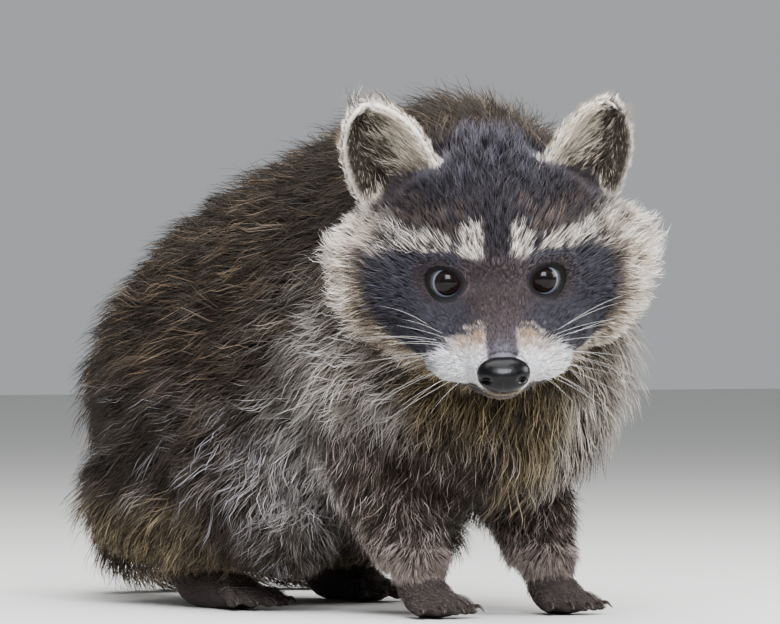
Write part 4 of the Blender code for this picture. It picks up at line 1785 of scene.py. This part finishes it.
        # each hair has its own small patch of the texture round its root's place
        patch = np.zeros((per, 2))
        patch[:, 1] = station / (rings + 1)
        patch[1:-1, 0] = np.tile([-0.5, 0.0, 0.5], rings)
        place = uv[:, None] + patch[None] * self.patch
        unwrap = made.uv_layers.new(name="OFBake")
        unwrap.data.foreach_set("uv", place.reshape(-1, 2)[loops].astype(np.float32).ravel())
        made.shade_smooth()
        return linked(name, made)

    def grow(self, material: bpy.types.Material, scale: float) -> list[Thing]:
        """All pieces of the coat.

        Args:
            material: what the hairs are made of.
            scale: share of the full number of hairs.

        Returns:
            The pieces' objects.
        """
        grown = []
        for turn, kind in enumerate((GUARD, FINE, WOOL, PILE)):
            seed = SEED + 10 * turn
            group = self.sow(kind, scale, seed)
            path, lock = self.combed(group, kind.comb, seed + 1)
            colours = self.coloured(group, path, lock, kind, seed + 2)
            per_hair = 6 * (len(kind.comb.stations) - 2)  # triangles
            order = np.argsort(group.root[:, 1], kind="stable")
            pieces = max(1, math.ceil(len(order) * per_hair / self.most))
            for number, these in enumerate(np.array_split(order, pieces), 1):
                piece = self.mesh(f"{kind.name}_{number:02d}", path[these], group.width[these],
                                  colours[these], group.uv[these])
                piece.data.materials.append(material)
                grown.append(piece)
        return grown


def tint(mesh: bpy.types.Mesh, colours: Array) -> None:
    """Stores one linear colour per point of a mesh.

    Args:
        mesh: the mesh, changed in place.
        colours: one row per point.
    """
    layer = mesh.color_attributes.new("coat_colour", "FLOAT_COLOR", "POINT")
    rgba = np.ones((len(colours), 4), np.float32)
    rgba[:, :3] = colours
    layer.data.foreach_set("color", rgba.ravel())


def triangle_places(mesh: bpy.types.Mesh) -> Array:
    """Each triangle's three corners on the mesh's OFBake unwrap.

    Args:
        mesh: an unwrapped mesh.

    Returns:
        Two numbers for each corner of each triangle.
    """
    mesh.calc_loop_triangles()
    return read(mesh.uv_layers["OFBake"].data, "uv", 2)[
        read(mesh.loop_triangles, "loops", 3, np.int32)]


# ------------------------------------------------------------------ eyes, nose, mouth, claws


@dataclass
class Eye:
    """A wet, nearly black eyeball with a brown iris and a bluish edge to it."""

    head: Head
    side: int
    bulge: float = 0.35
    toward: Triple = (-0.03, -0.93, 0.36)
    pupil: str = "0A0706"
    # colour, and the angles off the gaze, in radians, at which it begins and is full
    bands: tuple[tuple[str, float, float], ...] = (
        ("140E0C", 0.42, 0.5), ("0E0A09", 0.64, 0.8), ("5C6474", 0.8, 0.85), ("3A3836", 0.9, 1.0))

    def build(self) -> Thing:
        """The eyeball, coloured by the angle from the way it looks.

        Returns:
            The eyeball's object.
        """
        left = self.side > 0
        turn = Vector(self.toward).normalized().to_track_quat("Z", "Y").to_matrix().to_4x4()
        form = bmesh.new()
        bmesh.ops.create_uvsphere(form, u_segments=48, v_segments=40, radius=1.0)
        angle = np.array([vert.co.angle(Vector((0, 0, 1)), 0.0) for vert in form.verts])
        for vert, swell in zip(form.verts, self.bulge * ramp(angle, 0.95, 0.2)):
            vert.co = vert.co.normalized() * (EYE_RADIUS + float(swell)) * MM
        place = self.head.matrix @ Matrix.Translation(Vector(self.head.eyes[int(left)]) * MM)
        bmesh.ops.transform(form, matrix=place @ turn, verts=form.verts)
        eye = new_object("eyeball_left" if left else "eyeball_right", form)
        colours = np.repeat(linear(self.pupil)[None], len(angle), 0)
        for hue, start, full in self.bands:
            colours = mixed(colours, linear(hue)[None], ramp(angle, start, full))
        tint(eye.data, colours)
        return eye


@dataclass
class NosePad:
    """The bare nose: a broad rounded pad with two comma-shaped nostrils and a groove."""

    head: Head
    half: Triple = (9.7, 6.8, 6.5)
    tilt: float = -14.0

    def build(self) -> Thing:
        """Shapes the pad, its nostrils and its groove.

        Returns:
            The pad's object.
        """
        form = bmesh.new()
        bmesh.ops.create_uvsphere(form, u_segments=72, v_segments=48, radius=1.0,
                                  matrix=Matrix.Rotation(math.radians(90), 4, "X"))
        for vert in form.verts:
            x, y, z = vert.co
            out = abs(x)
            narrow = 1.0 + 0.06 * max(z, 0) - 0.16 * max(-z, 0) ** 1.5
            square = 1.0 + 0.1 * (out * abs(z))
            hole = blob((out, 0.66, 0.15), (z, -0.16, 0.17))
            comma = blob((out, 0.88, 0.16), (z + 0.28 * out, 0.0, 0.1))
            groove = blob((x, 0.0, 0.05)) * ramp(z, 0.1, -0.35)
            dent = 0.42 * hole + 0.3 * comma + 0.08 * groove + 0.1 * blob((z, 0.9, 0.4))
            point = Vector((x * narrow * square, y + (float(dent) if y < 0.2 else 0.0), z * square))
            vert.co = point * Vector(self.half) * MM
        turn = Matrix.Rotation(math.radians(self.tilt), 4, "X")
        place = self.head.matrix @ Matrix.Translation(Vector(self.head.nose) * MM) @ turn
        bmesh.ops.transform(form, matrix=place, verts=form.verts)
        return new_object("nose_pad", form)


@dataclass
class Whiskers:
    """Long pale whiskers from the pads beside the nose, and a few over the eyes."""

    head: Head
    skin: BVHTree
    sunk: float = 0.4
    taper: tuple[float, ...] = (1.0, 0.85, 0.6, 0.3)

    def one(self, form: Form, start: Triple, way: Triple, length: float, droop: float,
            radius: float) -> None:
        """Adds one tapering bent whisker.

        Args:
            form: the bmesh that it is added to.
            start: a point near the skin, in the head's millimetres.
            way: its direction at the root.
            length: its length.
            droop: how far its tip sinks.
            radius: half its thickness at the root.
        """
        place, normal = self.skin.find_nearest(self.head.place(*start))[:2]
        root = place - normal * self.sunk * MM
        turned = (self.head.matrix.to_3x3() @ Vector(way)).normalized()
        knots = []
        for step, thick in enumerate(self.taper):
            t = step / (len(self.taper) - 1)
            knots.append((*(root / MM + turned * length * t - Vector((0, 0, droop * t * t))),
                          radius * thick))
        add_tube(form, knots, sides=4, steps=3, pointed=True)

    def build(self) -> Thing:
        """Grows all whiskers in one object.

        Returns:
            The whiskers' object.
        """
        rng = np.random.default_rng(SEED + 90)
        form = bmesh.new()
        for side in (-1, 1):
            for row, column, start in whisker_roots(side):
                way = (side * (1.0 + rng.normal() * 0.08),
                       -0.25 + 0.22 * column + rng.normal() * 0.08,
                       0.38 - 0.3 * row + rng.normal() * 0.07)
                self.one(form, start, way, rng.uniform(20, 42) * (0.72 + 0.09 * column),
                         rng.uniform(2, 9), 0.048)
            for spot in range(4):
                start = (side * (14 + 3 * spot), -6, 12 + (spot % 2) * 2)
                way = (side * (0.15 + 0.15 * spot), -0.6, 0.9)
                self.one(form, start, way, rng.uniform(12, 20), 1.0, 0.035)
        return new_object("whiskers", form)


@dataclass
class Mouth:
    """The dark closed lips."""

    head: Head
    skin: BVHTree
    above: float = 0.35  # from the skin to the line's middle
    thickness: Curve = Curve((0.0, 13.0, 18.5), (0.85, 0.7, 0.25))  # from middle to corner

    def build(self) -> Thing:
        """A thin dark line along the mouth, half sunk in the skin.

        Returns:
            The lips' object.
        """
        form = bmesh.new()
        knots = []
        for point in Face(self.head).mouth_line():
            place, normal = self.skin.find_nearest(self.head.place(*point))[:2]
            thick = float(self.thickness(abs(point[0])))
            knots.append((*(place / MM + normal * self.above), thick))
        add_tube(form, knots, sides=8, steps=5)
        return new_object("lips", form)


@dataclass
class Claws:
    """Twenty small dark curved claws, one at the end of each toe."""

    feet: list[Paw]
    radius: float = 0.95
    length: float = 5.6

    def build(self) -> Thing:
        """Bends all claws out of tapering tubes.

        Returns:
            The claws' object.
        """
        form = bmesh.new()
        for toe in (toe for foot in self.feet for toe in foot.toes()):
            start = toe.tip + toe.way * 0.6 + Vector((0, 0, 1.1))
            bend = start + toe.way * self.length * 0.5 + Vector((0, 0, 0.35))
            end = start + toe.way * self.length - Vector((0, 0, 2.0))
            add_tube(form, [(*start, self.radius), (*bend, self.radius * 0.72), (*end, 0.16)],
                     sides=8, steps=3, pointed=True)
        return new_object("claws", form)


# ------------------------------------------------------------------ camera, floor and light


@dataclass(frozen=True)
class Studio:
    """Camera, pale floor and soft lights, all in metres."""

    lens: float = 324.3  # for a 36 mm wide sensor
    from_eyes: Triple = (-1.5594, -2.0793, -0.0106)
    heading: float = -36.0
    aim: Triple = (-0.02, -0.06, 0.1)
    lamps: tuple[tuple[str, Triple, float, float, str], ...] = (  # name, place, side, W, colour
        ("key_light", (-0.72, -1.2, 1.1), 1.5, 16.0, "FFFFFF"),
        ("catch_light", (-0.68, -1.12, 1.03), 0.8, 63.0, "F4F7FF"),
        ("top_light", (-0.1, 0.1, 1.7), 1.4, 42.0, "FFFFFF"),
        ("side_light", (1.15, -0.85, 0.75), 0.8, 27.0, "FFFFFF"))

    def camera(self) -> None:
        """A level camera in front of the animal's right side."""
        data = bpy.data.cameras.new("camera")
        data.lens, data.sensor_width = self.lens, 36.0
        data.clip_start, data.clip_end = 0.1, 50.0
        camera = linked("camera", data)
        camera.location = between_eyes() + Vector(self.from_eyes)
        camera.rotation_euler = (math.radians(90), 0, math.radians(self.heading))
        bpy.context.scene.camera = camera

    def floor(self) -> None:
        """A wide flat pale floor."""
        form = bmesh.new()
        bmesh.ops.create_grid(form, x_segments=2, y_segments=2, size=6.0)
        floor = new_object("floor", form)
        floor.data.materials.append(FLOOR.build())

    def lights(self) -> None:
        """Broad light from above and in front, a softer one beside it, and pale surroundings."""
        for name, place, size, power, colour in self.lamps:
            data = bpy.data.lights.new(name, "AREA")
            data.size, data.energy, data.color = size, power, linear(colour)
            lamp = linked(name, data)
            lamp.location = place
            lamp.rotation_euler = (Vector(self.aim) - lamp.location).to_track_quat(
                "-Z", "Y").to_euler()
        world = bpy.data.worlds.new("studio")
        world.use_nodes = True
        back = world.node_tree.nodes["Background"]
        back.inputs["Color"].default_value = (*linear("E8ECF0"), 1)
        back.inputs["Strength"].default_value = 0.5
        bpy.context.scene.world = world

    def build(self) -> None:
        """Sets up everything that isn't the animal."""
        self.camera()
        self.floor()
        self.lights()


# ------------------------------------------------------------------ materials


@dataclass(frozen=True)
class Finish:
    """A Principled finish, with its colour from the mesh where it has no colour of its own."""

    name: str
    roughness: float
    colour: str | None = None
    gloss: float = 0.5
    wet: float = 0.0
    bump_mm: float = 0.0
    bump_size_mm: float = 1.0

    def build(self) -> bpy.types.Material:
        """Sets up the shader.

        Returns:
            The material.
        """
        material = bpy.data.materials.new(self.name)
        material.use_nodes = True
        tree = material.node_tree
        shader = tree.nodes["Principled BSDF"]
        for socket, value in (("Roughness", self.roughness), ("Specular IOR Level", self.gloss),
                              ("Coat Weight", self.wet), ("Coat Roughness", 0.06)):
            shader.inputs[socket].default_value = value
        if self.colour:
            shader.inputs["Base Color"].default_value = (*linear(self.colour), 1)
        else:
            colour = add_node(tree, "ShaderNodeAttribute",
                              {"attribute_type": "GEOMETRY", "attribute_name": "coat_colour"})
            tree.links.new(colour.outputs["Color"], shader.inputs["Base Color"])
        if self.bump_mm:
            place = add_node(tree, "ShaderNodeTexCoord")
            grain = add_node(tree, "ShaderNodeTexNoise", inputs={"Scale": 1000 / self.bump_size_mm},
                             links={"Vector": place.outputs["Object"]})
            bump = add_node(tree, "ShaderNodeBump", inputs={"Distance": self.bump_mm * MM},
                            links={"Height": grain.outputs["Fac"]})
            tree.links.new(bump.outputs["Normal"], shader.inputs["Normal"])
        return material


# dark skin with underfur pressed on it, dull so that only the hair catches light
SKIN = Finish("underfur_on_skin", 0.85, gloss=0.2, bump_mm=0.25, bump_size_mm=0.9)
# guard hairs and wool: soft sheen along the hair
HAIR = Finish("guard_hair", 0.55, gloss=0.22)
# cornea over a dark iris: a mirror-like wet surface
EYEBALL = Finish("wet_cornea", 0.02, gloss=0.14)
# moist bare leather: black, pebbled, with broad highlights
NOSE_LEATHER = Finish("moist_nose_leather", 0.29, "030304", gloss=0.17, wet=0.04, bump_mm=0.1,
                      bump_size_mm=0.8)
# lips: dull black skin
LIP = Finish("lip_skin", 0.45, "15110F")
# horn of the claws: brown-black, slightly glossy
HORN = Finish("claw_horn", 0.35, "2A211C")
# whiskers: stiff, pale, translucent-looking hair
WHISKER = Finish("whisker_hair", 0.4, "C9C6C2")
# flat paint on a studio floor: pale and dull, with faint broad reflections
FLOOR = Finish("painted_studio_floor", 0.8, "D3D1CD")


def show(thing: Thing, finish: Finish | None = None,
         stands_for: tuple[str, ...] = ()) -> Thing:
    """Makes an object a piece of the animal.

    Args:
        thing: the object.
        finish: its finish, where it has no material yet.
        stands_for: solids that it replaces.

    Returns:
        The same object.
    """
    if finish:
        thing.data.materials.append(finish.build())
    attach(thing, "root")
    if stands_for:
        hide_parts(*stands_for)
    LOG.info("%s: %d faces", thing.name, len(thing.data.polygons))
    return thing


def main() -> None:
    """Builds the raccoon piece by piece."""
    logging.basicConfig(level=logging.INFO, format="%(name)s: %(message)s")
    Studio().build()
    head, solids, feet = Head(), Solids(), paws()
    ears = [Ear(head, side) for side in (-1, 1)]
    builder = Skin(head, solids)
    skin = builder.build(ears, feet)
    builder.unwrap(skin)
    surface = Surface.of(skin.data)
    labels = labelled(surface.points, solids, ears)
    paint = Markings(head, ears, surface.points, labels, surface.normals).build()
    tint(skin.data, mixed(paint.root, paint.middle, 0.5))
    show(skin, SKIN, tuple(part.value for part in PARTS))

    touch = BVHTree.FromPolygons([Vector(point) for point in surface.points],
                                 [tuple(face) for face in surface.triangles])
    for side, node in ((-1, "eye_right"), (1, "eye_left")):
        show(Eye(head, side).build(), EYEBALL, (node,))
    show(NosePad(head).build(), NOSE_LEATHER, ("nose",))
    show(Mouth(head, touch).build(), LIP)
    show(Claws(feet).build(), HORN)
    show(Whiskers(head, touch).build(), WHISKER)

    lie = Lie(surface, labels, head, ears, surface.spread(builder.room(surface.points, labels), 6))
    coat = Coat(lie, triangle_places(skin.data))
    pieces = coat.grow(HAIR.build(), 1.0)
    for piece in pieces:
        show(piece)
    LOG.info("coat: %d triangles", sum(len(piece.data.polygons) for piece in pieces))


if __name__ == "__main__":
    main()
